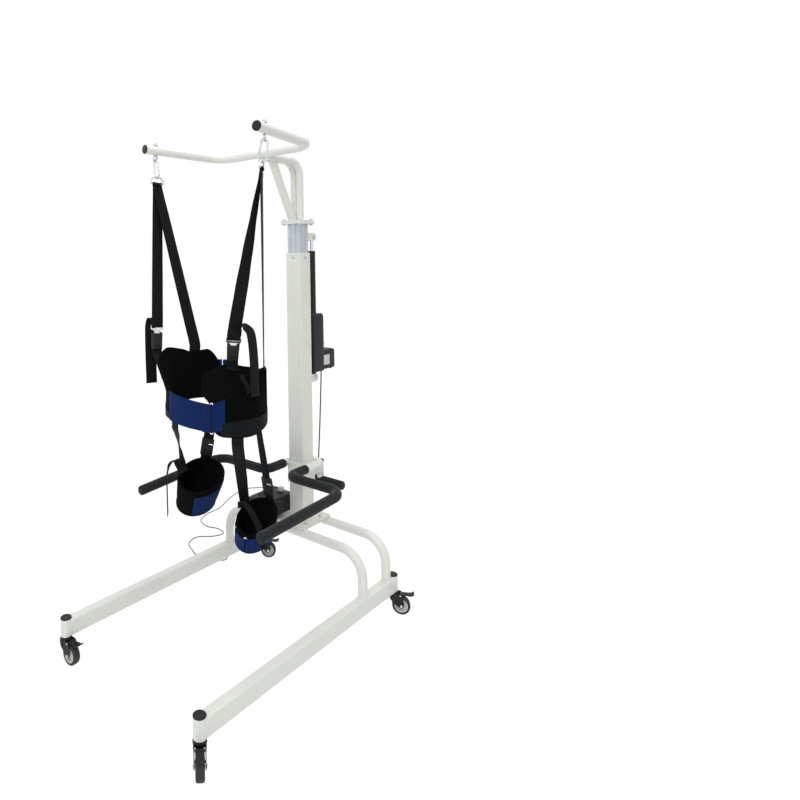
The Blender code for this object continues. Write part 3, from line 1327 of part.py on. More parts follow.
def slab(grid, thickness):
    """Closed sheet of even thickness behind a grid of points."""
    bm = bmesh.new()
    rows, cols = len(grid), len(grid[0])
    outer = [[bm.verts.new(p) for p in column] for column in grid]
    inner = [[bm.verts.new(p) for p in column] for column in behind(grid, thickness)]
    for i in range(rows - 1):
        for j in range(cols - 1):
            bm.faces.new((outer[i][j], outer[i + 1][j], outer[i + 1][j + 1], outer[i][j + 1]))
            bm.faces.new((inner[i][j], inner[i][j + 1], inner[i + 1][j + 1], inner[i + 1][j]))
    for j in range(cols - 1):
        for i in (0, rows - 1):
            bm.faces.new((outer[i][j], outer[i][j + 1], inner[i][j + 1], inner[i][j]))
    for i in range(rows - 1):
        for j in (0, cols - 1):
            bm.faces.new((outer[i][j], outer[i + 1][j], inner[i + 1][j], inner[i][j]))
    return closed(bm)


def panel_point(name, t, share):
    """Point on a panel's outer surface, share of the way from bottom to top."""
    return grid_point(panel_grid(name), name, t, share)


def panel_inner_point(name, t, share):
    return grid_point(behind(panel_grid(name), BELT_THICKNESS), name, t, share)


def grid_point(grid, name, t, share):
    first, last = PANELS[name]["span"]
    u = (t - first) / (last - first) * (len(grid) - 1)
    i = min(int(u), len(grid) - 2)
    v = share * (len(grid[0]) - 1)
    j = min(int(v), len(grid[0]) - 2)
    low = grid[i][j].lerp(grid[i + 1][j], u - i)
    high = grid[i][j + 1].lerp(grid[i + 1][j + 1], u - i)
    return low.lerp(high, v - j)


# Angle where the webbing below each buckle is sewn on the panel
ANCHOR_ANGLE = {"left": -16.0, "right": 204.0}


def build_panels():
    for name, _ in SIDES:
        panel = add(f"{name}_belt_panel", slab(panel_grid(name), BELT_THICKNESS), "neoprene",
                    on_belt(sum(PANELS[name]["span"]) / 2, BAND_TOP))
        place = buckle_matrix(name)
        wide = place.to_3x3() @ Vector((1, 0, 0))
        t = ANCHOR_ANGLE[name]
        points = [place @ Vector((0, 0, -BUCKLE_LENGTH - GAP - run)) for run in (0, 0.006)]
        for share in (0.93, 0.75, 0.6):
            at = panel_point(name, t, share)
            points.append(at)
        boolean(panel, ribbon(points, [wide] * len(points), WEB_WIDTH - 0.006, WEB_THICKNESS + 0.001),
                "UNION", f"{name}_lower_strap")


def belt_strip(first, last, z_low, z_high, offset, thickness, steps):
    """Curved strip outside the belt, from angle first to last."""
    grid = []
    for k in range(steps + 1):
        t = first + (last - first) * k / steps
        low, high = ramp(((first, z_low[0]), (last, z_low[1])), t), \
            ramp(((first, z_high[0]), (last, z_high[1])), t)
        grid.append([on_belt(t, low, offset + thickness), on_belt(t, high, offset + thickness)])
    return slab(grid, thickness)


CLOSINGS = {
    "front": {"strip": (246, 302), "low": (0.903, 0.890), "high": (1.013, 0.991), "ring": 303.5,
              "return": (305, 317)},
    "rear": {"strip": (80, 112.5), "low": (1.052, 1.052), "high": (1.096, 1.096), "ring": 114.2,
             "return": (116, 132)},
}


def build_closings():
    """Blue loop-tape straps that close the belt, each through a wire ring."""
    offset = GAP + CLOSING_CLEAR
    for name, data in CLOSINGS.items():
        first, last = data["strip"]
        steps = max(4, round((last - first) / 7))
        strap = add(f"{name}_closing_strap",
                    belt_strip(first, last, data["low"], data["high"], offset, CLOSING_THICKNESS, steps),
                    "blue_fabric", on_belt(data["ring"], data["high"][1]))
        back_first, back_last = data["return"]
        boolean(strap, belt_strip(back_first, back_last, data["low"][::-1], data["high"][::-1], offset,
                                  CLOSING_THICKNESS, 3), "UNION", f"{name}_closing_return")
        middle = offset + CLOSING_THICKNESS / 2
        low, high = data["low"][1] - 0.004, data["high"][1] + 0.004
        left, right = last - RING_LAP, back_first + RING_LAP
        loop = [on_belt(left, low, middle), on_belt(left, high, middle),
                on_belt(right, high, middle), on_belt(right, low, middle)]
        across = on_belt(data["ring"], 0, 1.0) - on_belt(data["ring"], 0)
        boolean(strap, rod(loop, BELT_RING_WIRE, 8, across, True), "UNION", f"{name}_closing_ring")


# Thigh cuffs: middle, direction of the leg's axis and of the loop's first half axis,
# half axes, height along the axis, and how the loop narrows over it
CUFFS = {
    "left": {"centre": (0.113, -0.410, 0.466), "axis": (-0.05, 0.54, -0.84), "first": (1, 0, 0),
             "half": (0.084, 0.091), "height": 0.110, "taper": 0.95},
    "right": {"centre": (-0.150, -0.468, 0.565), "axis": (-0.22, 0.42, -0.88), "first": (1, 0, 0),
              "half": (0.098, 0.100), "height": 0.140, "taper": 0.88},
}
# Webbing between belt and cuff: panel, angle at the belt's hem, then where it is sewn
# on the cuff as (angle on the loop, share of the height)
CUFF_STRAPS = {
    "left": (("left", -30.0, 195.0, 0.10), ("left", 62.0, 275.0, 0.10)),
    "right": (("right", 256.0, 172.0, 0.10), ("right", 126.0, 240.0, 0.10)),
}
CUFF_SIDES = 18
ADJUSTER = Vector((0.052, 0.014, 0.078))    # on the rear strap of each cuff
ADJUSTER_LIFT = 0.010                       # of its lower end above the cuff


def cuff_axes(data):
    axis = Vector(data["axis"]).normalized()
    first = Vector(data["first"])
    first = (first - axis * first.dot(axis)).normalized()
    return axis, first, axis.cross(first)


def cuff_point(data, angle, share, inset=0.0):
    """Point on a cuff's outer face, moved in by inset."""
    axis, first, second = cuff_axes(data)
    a = math.radians(angle)
    narrow = 1 + (data["taper"] - 1) * share
    one, two = data["half"]
    centre = Vector(data["centre"]) + axis * (data["height"] * (share - 0.5))
    return centre + first * ((one * narrow - inset) * math.cos(a)) \
        + second * ((two * narrow - inset) * math.sin(a))


def cuff_band(data):
    bm = bmesh.new()
    layers = []
    for share, inset in ((0, 0), (0.5, -0.002), (1, 0), (1, CUFF_THICKNESS), (0.5, CUFF_THICKNESS),
                         (0, CUFF_THICKNESS)):
        layers.append([bm.verts.new(cuff_point(data, 360 * k / CUFF_SIDES, share, inset))
                       for k in range(CUFF_SIDES)])
    for one, two in zip(layers, layers[1:] + layers[:1]):
        skin(bm, one, two)
    return closed(bm)


def adjuster(low, high, across):
    """Web adjuster low on a cuff's strap, which runs through it."""
    up = (high - low).normalized()
    x = (across - up * across.dot(up)).normalized()
    turn = Matrix((x, up.cross(x), up)).transposed().to_4x4()
    half = ADJUSTER / 2
    block = box((-half.x, -half.y, ADJUSTER_LIFT), (half.x, half.y, ADJUSTER_LIFT + ADJUSTER.z), 0.003, 2)
    return moved(block, Matrix.Translation(low) @ turn)


def build_cuffs():
    for name, data in CUFFS.items():
        axis, _, _ = cuff_axes(data)
        cuff = add(f"{name}_thigh_cuff", cuff_band(data), "neoprene", data["centre"])
        for index, (panel, t, angle, share) in enumerate(CUFF_STRAPS[name]):
            seat, wide = hem_seat(panel, t)
            knee = seat - Vector((0, 0, SEAM_RUN))
            join = cuff_point(data, angle, share, CUFF_THICKNESS / 2)
            lip = cuff_point(data, angle, -0.02, CUFF_THICKNESS / 2)
            across = axis.cross(join - Vector(data["centre"])).normalized()
            if across.dot(wide) < 0:
                across = -across
            path, widths = blend_path(knee, lip, 5, wide, across)
            ribbon_mesh = ribbon([seat] + path + [join], [wide] + widths + [across],
                                 WEB_WIDTH - 0.004)
            boolean(cuff, ribbon_mesh, "UNION", f"{name}_cuff_strap_{index}")
            if index == 1:
                boolean(cuff, adjuster(path[-1], path[-2], widths[-1]), "UNION", f"{name}_adjuster")


def build_control_box():
    x = -MAST_SIDE / 2 - GAP
    add("control_box", box((x - BOX_WIDTH, BOX_FRONT_Y, BOX_BOTTOM), (x, BOX_REAR_Y, BOX_TOP),
                           BOX_EDGE, 2), "black_plastic", (x, BOX_REAR_Y, BOX_BOTTOM))
    at = connector_at()
    add("charging_connector", box((at.x - 0.014, at.y - 0.010, BOX_TOP + GAP),
                                  (at.x + 0.010, at.y + 0.010, BOX_TOP + GAP + CONNECTOR_HEIGHT),
                                  0.003, 2), "nylon", (at.x, at.y, BOX_TOP + GAP))


def connector_at():
    return Vector((CONNECTOR_X, CONNECTOR_Y, BOX_TOP + GAP + CONNECTOR_HEIGHT / 2))


def smooth_route(points, step):
    """Evenly spaced points on a smooth curve through the given ones."""
    points = [Vector(p) for p in points]
    ends = [points[0] * 2 - points[1]] + points + [points[-1] * 2 - points[-2]]
    dense = []
    for p0, p1, p2, p3 in zip(ends, ends[1:], ends[2:], ends[3:]):
        for k in range(24):
            t = k / 24
            dense.append(0.5 * (2 * p1 + (p2 - p0) * t + (2 * p0 - 5 * p1 + 4 * p2 - p3) * t ** 2
                                + (3 * p1 - p0 - 3 * p2 + p3) * t ** 3))
    dense.append(points[-1])
    length = sum((b - a).length for a, b in zip(dense, dense[1:]))
    count = max(2, round(length / step))
    made, walked, target = [dense[0]], 0.0, length / count
    for a, b in zip(dense, dense[1:]):
        piece = (b - a).length
        while piece > 0 and walked + piece >= target and len(made) < count:
            made.append(a.lerp(b, (target - walked) / piece))
            target += length / count
        walked += piece
    made.append(dense[-1])
    return made


def lead(name, points, radius, step, finish):
    """Round lead along a smooth route."""
    curve = bpy.data.curves.new(name, "CURVE")
    curve.dimensions = "3D"
    curve.bevel_depth = radius
    curve.bevel_resolution = 2
    curve.use_fill_caps = True
    route = smooth_route(points, step)
    spline = curve.splines.new("POLY")
    spline.points.add(len(route) - 1)
    for point, at in zip(spline.points, route):
        point.co = (at.x, at.y, max(at.z, radius + GAP), 1.0)
    curve.materials.append(material(finish))
    made = bpy.data.objects.new(name, curve)
    bpy.context.collection.objects.link(made)
    return made


# Route of the actuator's lead from the motor cover down to the control box
ACT_CABLE_ROUTE = (
    (-0.0300, 0.2050, 0.9897), (-0.0300, 0.2050, 0.9500), (-0.0320, 0.1980, 0.8000),
    (-0.0400, 0.1920, 0.6000), (-0.0500, 0.1880, 0.4700), (-0.0640, 0.1720, 0.4050),
    (-0.0860, 0.1350, 0.3740), (-0.1000, 0.0880, 0.3700), (-0.1020, 0.0400, 0.3880),
    (-0.1020, 0.0150, 0.4080), (-0.1020, -0.0097, 0.4100),
)
# Route of the charging lead: along the front arch, down past the leg, and over the floor
CHARGING_ROUTE = (
    (-0.1003, -0.0400, 0.4583), (-0.1250, -0.0400, 0.4583), (-0.1530, -0.0400, 0.4600),
    (-0.1740, -0.0400, 0.4480), (-0.1800, -0.0430, 0.4100), (-0.1850, -0.0520, 0.3600),
    (-0.2050, -0.0640, 0.3340), (-0.2450, -0.0680, 0.3230), (-0.2850, -0.0680, 0.3210),
    (-0.3350, -0.0680, 0.2960), (-0.3640, -0.0680, 0.2350),
    (-0.3750, -0.0640, 0.1800), (-0.3960, -0.0560, 0.1500), (-0.4100, -0.0500, 0.0900),
    (-0.4500, -0.0400, 0.0200), (-0.5300, -0.0500, 0.0030), (-0.6150, -0.0790, 0.0030),
    (-0.6700, -0.0600, 0.0030), (-0.7400, -0.0200, 0.0030), (-0.7650, 0.0600, 0.0030),
    (-0.7050, 0.1350, 0.0030), (-0.6950, 0.1950, 0.0030), (-0.7550, 0.2150, 0.0030),
    (-0.8250, 0.1950, 0.0030), (-0.9050, 0.2250, 0.0030), (-0.9450, 0.3100, 0.0030),
    (-0.9550, 0.4300, 0.0030), (-1.0050, 0.5500, 0.0030), (-1.0400, 0.6700, 0.0030),
    (-1.0500, 0.7700, 0.0030), (-0.9900, 0.8450, 0.0050), (-0.9503, 0.8600, 0.0080),
)


def build_leads():
    lead("actuator_cable", ACT_CABLE_ROUTE, ACT_CABLE_RADIUS, 0.016, "cable")
    lead("charging_cable", CHARGING_ROUTE, CABLE_RADIUS, 0.036, "cable")
    before, end = Vector(CHARGING_ROUTE[-2]), Vector(CHARGING_ROUTE[-1])
    out = (end - before).normalized()
    start = end + out * GAP
    profile = [(0, 0), (CABLE_RADIUS + 0.001, 0), (CABLE_RADIUS + 0.0015, 0.010), (PLUG_RADIUS, 0.014),
               (PLUG_RADIUS, PLUG_LENGTH - 0.012), (PLUG_RADIUS - 0.002, PLUG_LENGTH - 0.012),
               (PLUG_RADIUS - 0.002, PLUG_LENGTH), (0, PLUG_LENGTH)]
    add("charging_plug", turned(profile, 12, start, start + out), "cable", start)


def place_all():
    """Puts the whole trainer over the origin, with the casters as they stand."""
    root = empty("trainer", (MAST_X, MAST_Y, 0))
    for obj in bpy.data.objects:
        if obj.parent is None and obj is not root:
            obj.parent = root


def main():
    clear_scene()
    build_legs()
    build_arch_frame()
    build_mast()
    build_column()
    build_gooseneck()
    build_spreader()
    build_actuator()
    build_handlebars()
    build_control_box()
    build_leads()
    build_casters()
    build_carabiners()
    build_drings()
    build_hanger_straps()
    build_buckles()
    build_panels()
    build_closings()
    build_cuffs()
    place_all()


main()
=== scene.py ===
"""Looks of the gait trainer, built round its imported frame."""
import math

import bmesh
import bpy
from mathutils import Matrix, Vector, noise


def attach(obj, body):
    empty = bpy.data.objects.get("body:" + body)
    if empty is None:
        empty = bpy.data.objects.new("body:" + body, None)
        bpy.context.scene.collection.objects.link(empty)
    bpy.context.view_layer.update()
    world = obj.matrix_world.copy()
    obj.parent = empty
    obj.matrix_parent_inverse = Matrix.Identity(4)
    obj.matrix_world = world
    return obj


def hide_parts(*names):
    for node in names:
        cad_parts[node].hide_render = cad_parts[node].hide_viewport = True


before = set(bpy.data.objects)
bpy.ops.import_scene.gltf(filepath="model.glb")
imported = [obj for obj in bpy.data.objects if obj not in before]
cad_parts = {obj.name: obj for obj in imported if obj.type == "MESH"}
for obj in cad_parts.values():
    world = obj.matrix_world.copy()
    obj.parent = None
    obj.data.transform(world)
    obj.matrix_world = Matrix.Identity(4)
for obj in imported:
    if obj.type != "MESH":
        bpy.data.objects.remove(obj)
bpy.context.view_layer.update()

# Mast's axis on the floor: every place below is measured from it
HOME = Vector((-0.030, 0.413, 0.0))

# Photograph's view: place from the mast, way that it looks, and lens in its pixels
VIEW_FROM = Vector((1.743, -2.272, 1.511))
VIEW_TURN = math.radians(44.553)
VIEW_DIP = math.radians(-1.275)
VIEW_ROLL = math.radians(-0.739)
VIEW_FOCAL = 622.608
VIEW_CENTRE = (220.794, 245.703)
IMAGE_SIDE = 800
SENSOR = 36.0
FAR = 60.0               # nothing beyond this is drawn


def linked(name, data):
    """New object of some data, in the scene."""
    made = bpy.data.objects.new(name, data)
    bpy.context.scene.collection.objects.link(made)
    return made


def place_camera():
    """Camera with the photograph's place, lens and framing."""
    forward = Vector((-math.sin(VIEW_TURN) * math.cos(VIEW_DIP),
                      math.cos(VIEW_TURN) * math.cos(VIEW_DIP), -math.sin(VIEW_DIP)))
    level = Vector((math.cos(VIEW_TURN), math.sin(VIEW_TURN), 0.0))
    above = level.cross(forward)
    right = level * math.cos(VIEW_ROLL) + above * math.sin(VIEW_ROLL)
    up = above * math.cos(VIEW_ROLL) - level * math.sin(VIEW_ROLL)
    lens = bpy.data.cameras.new("photograph_view")
    lens.sensor_width = SENSOR
    lens.sensor_fit = "HORIZONTAL"
    lens.lens = VIEW_FOCAL / IMAGE_SIDE * SENSOR
    lens.shift_x = (IMAGE_SIDE / 2 - VIEW_CENTRE[0]) / IMAGE_SIDE
    lens.shift_y = (VIEW_CENTRE[1] - IMAGE_SIDE / 2) / IMAGE_SIDE
    lens.clip_end = FAR
    camera = linked("photograph_view", lens)
    camera.matrix_world = Matrix.Translation(VIEW_FROM + HOME) @ axes(right, up, -forward)
    bpy.context.scene.camera = camera


def axes(x, y, z):
    """Matrix that turns the world's axes into three directions."""
    return Matrix((x, y, z)).transposed().to_4x4()


# Nodes and colours
def linear(hex_code):
    """Linear colour of an sRGB hex value."""
    made = []
    for k in (0, 2, 4):
        value = int(hex_code[k:k + 2], 16) / 255
        made.append(value / 12.92 if value <= 0.04045 else ((value + 0.055) / 1.055) ** 2.4)
    return (*made, 1.0)


def put(tree, kind, inputs=None, **settings):
    """Adds a node, with its settings, and its inputs set or linked."""
    node = tree.nodes.new(kind)
    for key, value in settings.items():
        setattr(node, key, value)
    for key, value in (inputs or {}).items():
        socket = node.inputs[key]
        if isinstance(value, bpy.types.NodeSocket):
            tree.links.new(value, socket)
        else:
            socket.default_value = value
    return node


def surface(name, hex_code, roughness, metallic=0.0, **sockets):
    """New material with one Principled shader, and its tree and shader."""
    made = bpy.data.materials.new(name)
    made.use_nodes = True
    tree = made.node_tree
    shader = tree.nodes["Principled BSDF"]
    shader.inputs["Base Color"].default_value = linear(hex_code)
    shader.inputs["Roughness"].default_value = roughness
    shader.inputs["Metallic"].default_value = metallic
    for key, value in sockets.items():
        shader.inputs[key.replace("_", " ")].default_value = value
    return made, tree, shader


def two_tones(tree, shader, factor, dark, light):
    """Base colour between two hex values."""
    mix = put(tree, "ShaderNodeMix", data_type="RGBA")
    mix.inputs[6].default_value = linear(dark)
    mix.inputs[7].default_value = linear(light)
    tree.links.new(factor, mix.inputs[0])
    tree.links.new(mix.outputs[2], shader.inputs["Base Color"])


def rough_between(tree, shader, factor, low, high):
    """Roughness between two values."""
    spread = put(tree, "ShaderNodeMapRange", {"Value": factor, "To Min": low, "To Max": high})
    tree.links.new(spread.outputs["Result"], shader.inputs["Roughness"])


def bumped(tree, shader, height, depth, strength=1.0):
    """Bump whose full height is depth in metres."""
    bump = put(tree, "ShaderNodeBump", {"Height": height, "Distance": depth, "Strength": strength})
    tree.links.new(bump.outputs["Normal"], shader.inputs["Normal"])


def where_on(tree, kind="Object"):
    """Places on the object in metres, or along its own UV map with kind UV."""
    return put(tree, "ShaderNodeTexCoord").outputs[kind]


def speckle(tree, where, size, detail):
    """Noise whose grains are about size metres across."""
    noisy = put(tree, "ShaderNodeTexNoise", {"Vector": where, "Scale": 1 / size, "Detail": detail})
    return noisy.outputs["Fac"]


WAVE_PERIOD = 0.314159   # of a wave texture of scale 1, in metres


def bands(tree, where, pitch, axis):
    """Stripes a pitch apart in metres, across an axis."""
    return put(tree, "ShaderNodeTexWave", {"Vector": where, "Scale": WAVE_PERIOD / pitch},
               bands_direction=axis, wave_profile="SIN").outputs["Fac"]


def joined(tree, one, two, kind="MULTIPLY"):
    """Two values taken together."""
    return put(tree, "ShaderNodeMath", {0: one, 1: two}, operation=kind).outputs[0]


def grained(name, colour, roughness, relief, tones=None, wear=None, **sockets):
    """Material with a fine relief, cloudy tones and patches of wear. Each is given by the
    size and detail of its noise, then by a depth in metres, two colours or two roughnesses."""
    made, tree, shader = surface(name, colour, roughness, **sockets)
    where = where_on(tree)
    if tones:
        two_tones(tree, shader, speckle(tree, where, *tones[:2]), *tones[2:])
    if wear:
        rough_between(tree, shader, speckle(tree, where, *wear[:2]), *wear[2:])
    bumped(tree, shader, speckle(tree, where, *relief[:2]), relief[2])
    return made


def enamel():
    """Powder coat on steel: warm white with a shallow orange peel, duller where hands rub."""
    return grained("powder_coated_steel", "e9ebe4", 0.34, (0.0022, 1.0, 0.00004),
                   (0.35, 3.0, "e3e6dd", "eef0ea"), (0.06, 4.0, 0.28, 0.44),
                   Coat_Weight=0.25, Coat_Roughness=0.18)


def moulded(name, dark, light, roughness):
    """Moulded ABS: spark-eroded grain that scatters the light a little."""
    return grained(name, dark, roughness, (0.0008, 2.0, 0.00003), (0.03, 4.0, dark, light),
                   (0.012, 3.0, roughness - 0.07, roughness + 0.08), Specular_IOR_Level=0.35)


def drawn_metal(name, dark, light, roughness, stretch, line):
    """Metal drawn or brushed one way: fine lines along it, cloudy at arm's length."""
    made, tree, shader = surface(name, light, roughness, 1.0)
    where = where_on(tree)
    lines = put(tree, "ShaderNodeMapping", {"Vector": where, "Scale": stretch}).outputs["Vector"]
    fine, cloud = speckle(tree, lines, line, 3.0), speckle(tree, where, 0.05, 3.0)
    two_tones(tree, shader, joined(tree, fine, cloud, "ADD"), dark, light)
    rough_between(tree, shader, fine, roughness - 0.06, roughness + 0.10)
    bumped(tree, shader, fine, 0.000012)
    return made


PORE = 0.0014            # of the grip foam


def foam():
    """Closed-cell grip foam: dull black with open pores of about 1 mm."""
    made, tree, shader = surface("grip_foam", "1c1e20", 0.86, Sheen_Weight=0.12, Specular_IOR_Level=0.3)
    where = where_on(tree)
    pores = put(tree, "ShaderNodeTexVoronoi", {"Vector": where, "Scale": 1 / PORE}).outputs["Distance"]
    two_tones(tree, shader, speckle(tree, where, 0.02, 4.0), "0e1011", "191b1e")
    bumped(tree, shader, pores, 0.00012, 0.8)
    return made


THREAD_RUN = 0.0016      # between weft ribs of the webbing
THREAD_ACROSS = 0.0024   # between its warp cords


def webbing():
    """Polyester seat-belt webbing: weft ribs crossed by twill cords, with a slight sheen."""
    made, tree, shader = surface("polyester_webbing", "07090b", 0.70, Sheen_Weight=0.02,
                                 Sheen_Roughness=0.4, Specular_IOR_Level=0.14)
    where = where_on(tree, "UV")
    ribs = bands(tree, where, THREAD_RUN, "X")
    cords = bands(tree, where, THREAD_ACROSS, "Y")
    slant = bands(tree, where, THREAD_ACROSS * 2, "DIAGONAL")
    weave = joined(tree, joined(tree, ribs, cords, "ADD"), slant, "ADD")
    two_tones(tree, shader, joined(tree, weave, 0.33), "030405", "0e1114")
    bumped(tree, shader, weave, 0.00012, 0.9)
    return made


KNIT_STEP = 0.0013       # stitch spacing of the neoprene's jersey face


def neoprene():
    """Neoprene laminated with black jersey: soft, matt, with a fine knit and gentle dents."""
    made, tree, shader = surface("jersey_neoprene", "030404", 0.95, Specular_IOR_Level=0.08)
    where = where_on(tree, "UV")
    knit = joined(tree, bands(tree, where, KNIT_STEP, "X"), bands(tree, where, KNIT_STEP * 1.4, "Y"))
    dents = speckle(tree, where_on(tree), 0.03, 3.0)
    two_tones(tree, shader, dents, "020202", "060708")
    bumped(tree, shader, joined(tree, knit, joined(tree, dents, 4.0), "ADD"), 0.00025, 0.6)
    return made


def loop_tape():
    """Blue nylon loop tape: brushed loops that catch the light in soft patches."""
    made, tree, shader = surface("nylon_loop_tape", "0b2355", 0.92, Specular_IOR_Level=0.12,
                                 Sheen_Weight=0.03, Sheen_Roughness=0.5)
    where = where_on(tree, "UV")
    fuzz, nap = speckle(tree, where, 0.0011, 3.0), speckle(tree, where, 0.014, 4.0)
    rows = bands(tree, where, 0.0032, "Y")
    two_tones(tree, shader, joined(tree, joined(tree, fuzz, nap, "ADD"), 0.5), "091c48", "0f2c68")
    bumped(tree, shader, joined(tree, fuzz, joined(tree, rows, 0.4), "ADD"), 0.00035, 0.8)
    return made


def tread_rubber():
    """Polyurethane tread: near black, dusted grey where it rolls."""
    return grained("wheel_tread", "17181a", 0.62, (0.0015, 3.0, 0.00006),
                   (0.006, 5.0, "121315", "2b2c2e"), (0.004, 3.0, 0.5, 0.8))


def sheath():
    """Flexible PVC lead: black, smooth, softly glossy."""
    return grained("pvc_sheath", "141518", 0.42, (0.0012, 2.0, 0.00002), wear=(0.01, 3.0, 0.36, 0.52))


def red_button():
    """Red ABS push button, glossier than the buckle round it."""
    return grained("red_push_button", "c0281f", 0.35, (0.0009, 2.0, 0.00002),
                   (0.01, 2.0, "b4241c", "cd3428"))


def make_finishes():
    """Every finish, with the name of a colour slot of the record."""
    return {
        "enamel": (enamel(), "white_enamel"),
        "abs": (moulded("black_moulding", "060607", "0c0c0d", 0.50), "black_plastic"),
        "cap": (moulded("black_cap", "0c0d0e", "151718", 0.55), "black_plastic"),
        "hub": (moulded("white_nylon_hub", "d2d2cc", "e6e6e0", 0.48), "tread"),
        "nylon": (moulded("pale_nylon", "dedbd0", "efece2", 0.50), "nylon"),
        "label": (moulded("blank_label", "c9ced4", "dde1e6", 0.40), "black_plastic"),
        "aluminium": (drawn_metal("anodised_extrusion", "989da2", "bcc1c6", 0.40, (1, 1, 0.02), 0.0012),
                      "grey_aluminium"),
        "zinc": (drawn_metal("zinc_plated_steel", "9c9fa2", "c6c9cb", 0.32, (1, 1, 1), 0.004), "zinc_steel"),
        "chrome": (drawn_metal("polished_chrome", "c4c7ca", "dadde0", 0.13, (1, 1, 1), 0.006), "chrome"),
        "foam": (foam(), "foam"),
        "web": (webbing(), "web"),
        "neoprene": (neoprene(), "neoprene"),
        "blue": (loop_tape(), "blue_fabric"),
        "tread": (tread_rubber(), "tread"),
        "sheath": (sheath(), "cable"),
        "red": (red_button(), "red_plastic"),
        "thread": (moulded("black_thread", "0e1012", "1d2024", 0.6), "web"),
        "blue_thread": (moulded("blue_thread", "12284f", "244070", 0.6), "blue_fabric"),
    }


FINISH = make_finishes()


# Shapes
UP = Vector((0, 0, 1))
GAP = 0.0003             # between pieces of different nodes


def piece(name, bm, finish, body, *nodes, sharp=35.0):
    """Makes a mesh a piece of the trainer that rides on a body, in place of nodes."""
    bmesh.ops.recalc_face_normals(bm, faces=bm.faces)
    bm.transform(Matrix.Translation(HOME))
    mesh = bpy.data.meshes.new(name)
    bm.to_mesh(mesh)
    bm.free()
    mesh.shade_smooth()
    mesh.set_sharp_from_angle(angle=math.radians(sharp))
    return dressed(linked(name, mesh), finish, body, *nodes)


def dressed(made, finish, body, *nodes):
    """Gives a piece its finish and its body, and hides the nodes that it stands for."""
    material, slot = FINISH[finish]
    if not made.data.materials:
        made.data.materials.append(material)
    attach(made, body)
    if nodes:
        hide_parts(*nodes)
    return made


def together(*parts):
    """One mesh of several."""
    whole = bmesh.new()
    layer = whole.loops.layers.uv.new("UVMap")
    for part in parts:
        source = part.loops.layers.uv.active
        copies = {v: whole.verts.new(v.co) for v in part.verts}
        for face in part.faces:
            new = whole.faces.new([copies[v] for v in face.verts])
            if source:
                for a, b in zip(new.loops, face.loops):
                    a[layer].uv = b[source].uv
        part.free()
    return whole


def shifted(bm, matrix):
    """Moves a mesh and gives it back."""
    bm.transform(matrix)
    return bm


def rounded_box(low, high, edge, segments):
    """Box from corner to corner with all edges rounded."""
    bm = bmesh.new()
    low, high = Vector(low), Vector(high)
    bmesh.ops.create_cube(bm, size=1.0)
    bm.transform(Matrix.Translation((low + high) / 2) @ Matrix.Diagonal((*(high - low), 1.0)))
    bmesh.ops.bevel(bm, geom=bm.edges, offset=edge, segments=segments, profile=0.5, affect="EDGES",
                    clamp_overlap=True)
    return bm


def turned(profile, at, way, segments):
    """Solid of revolution of (radius, height) rows, standing at a point along a direction."""
    bm = bmesh.new()
    rings = []
    for radius, height in profile:
        if radius == 0:
            rings.append([bm.verts.new((0, 0, height))])
        else:
            rings.append([bm.verts.new((x, y, height)) for x, y in circle(radius, segments)])
    pairs = list(zip(rings, rings[1:]))
    if profile[0][0] > 0:
        pairs.append((rings[-1], rings[0]))
    for one, two in pairs:
        for k in range(segments):
            n = (k + 1) % segments
            if len(one) == 1:
                bm.faces.new((one[0], two[n], two[k]))
            elif len(two) == 1:
                bm.faces.new((one[k], one[n], two[0]))
            else:
                bm.faces.new((one[k], one[n], two[n], two[k]))
    turn = Vector(way).to_track_quat("Z", "Y").to_matrix().to_4x4()
    return shifted(bm, Matrix.Translation(Vector(at)) @ turn)


def bar(start, end, radius, edge, segments):
    """Round bar with its two rims eased."""
    way = Vector(end) - Vector(start)
    length = way.length
    return turned([(0, 0), (radius - edge, 0), (radius, edge), (radius, length - edge),
                   (radius - edge, length), (0, length)], start, way, segments)


def hexagon(start, out, radius, height):
    """Hexagon head standing on a surface, with a washer face and a chamfered crown."""
    wide, low = radius * 1.12, height * 0.18
    washer = turned([(0, 0), (wide, 0), (wide, low), (0, low)], start, out, 28)
    crown = turned([(0, height * 0.15), (radius, height * 0.15), (radius, height * 0.86),
                    (radius * 0.84, height), (0, height)], start, out, 6)
    return together(washer, crown)


def filleted(points, radii, steps):
    """Path through points with each inner corner rounded to its radius."""
    points = [Vector(p) for p in points]
    path = [points[0]]
    for before, corner, after, radius in zip(points, points[1:], points[2:], radii):
        a, b = (before - corner).normalized(), (after - corner).normalized()
        half = a.angle(b) / 2
        centre = corner + (a + b).normalized() * (radius / math.sin(half))
        first = corner + a * (radius / math.tan(half)) - centre
        last = corner + b * (radius / math.tan(half)) - centre
        normal = first.cross(last).normalized()
        for k in range(steps + 1):
            path.append(centre + Matrix.Rotation((math.pi - 2 * half) * k / steps, 3, normal) @ first)
    path.append(points[-1])
    return path


def curve(p0, p1, p2, p3, t):
    """Point or value at share t between p1 and p2, on a smooth curve through all four."""
    return 0.5 * (2 * p1 + (p2 - p0) * t + (2 * p0 - 5 * p1 + 4 * p2 - p3) * t ** 2
                  + (3 * p1 - p0 - 3 * p2 + p3) * t ** 3)


def smooth(points, step):
    """Evenly spaced points on a smooth curve through the given ones."""
    points = [Vector(p) for p in points]
    ends = [points[0] * 2 - points[1]] + points + [points[-1] * 2 - points[-2]]
    dense = []
    for four in zip(ends, ends[1:], ends[2:], ends[3:]):
        dense += [curve(*four, k / 24) for k in range(24)]
    return evenly([*dense, points[-1]], step)


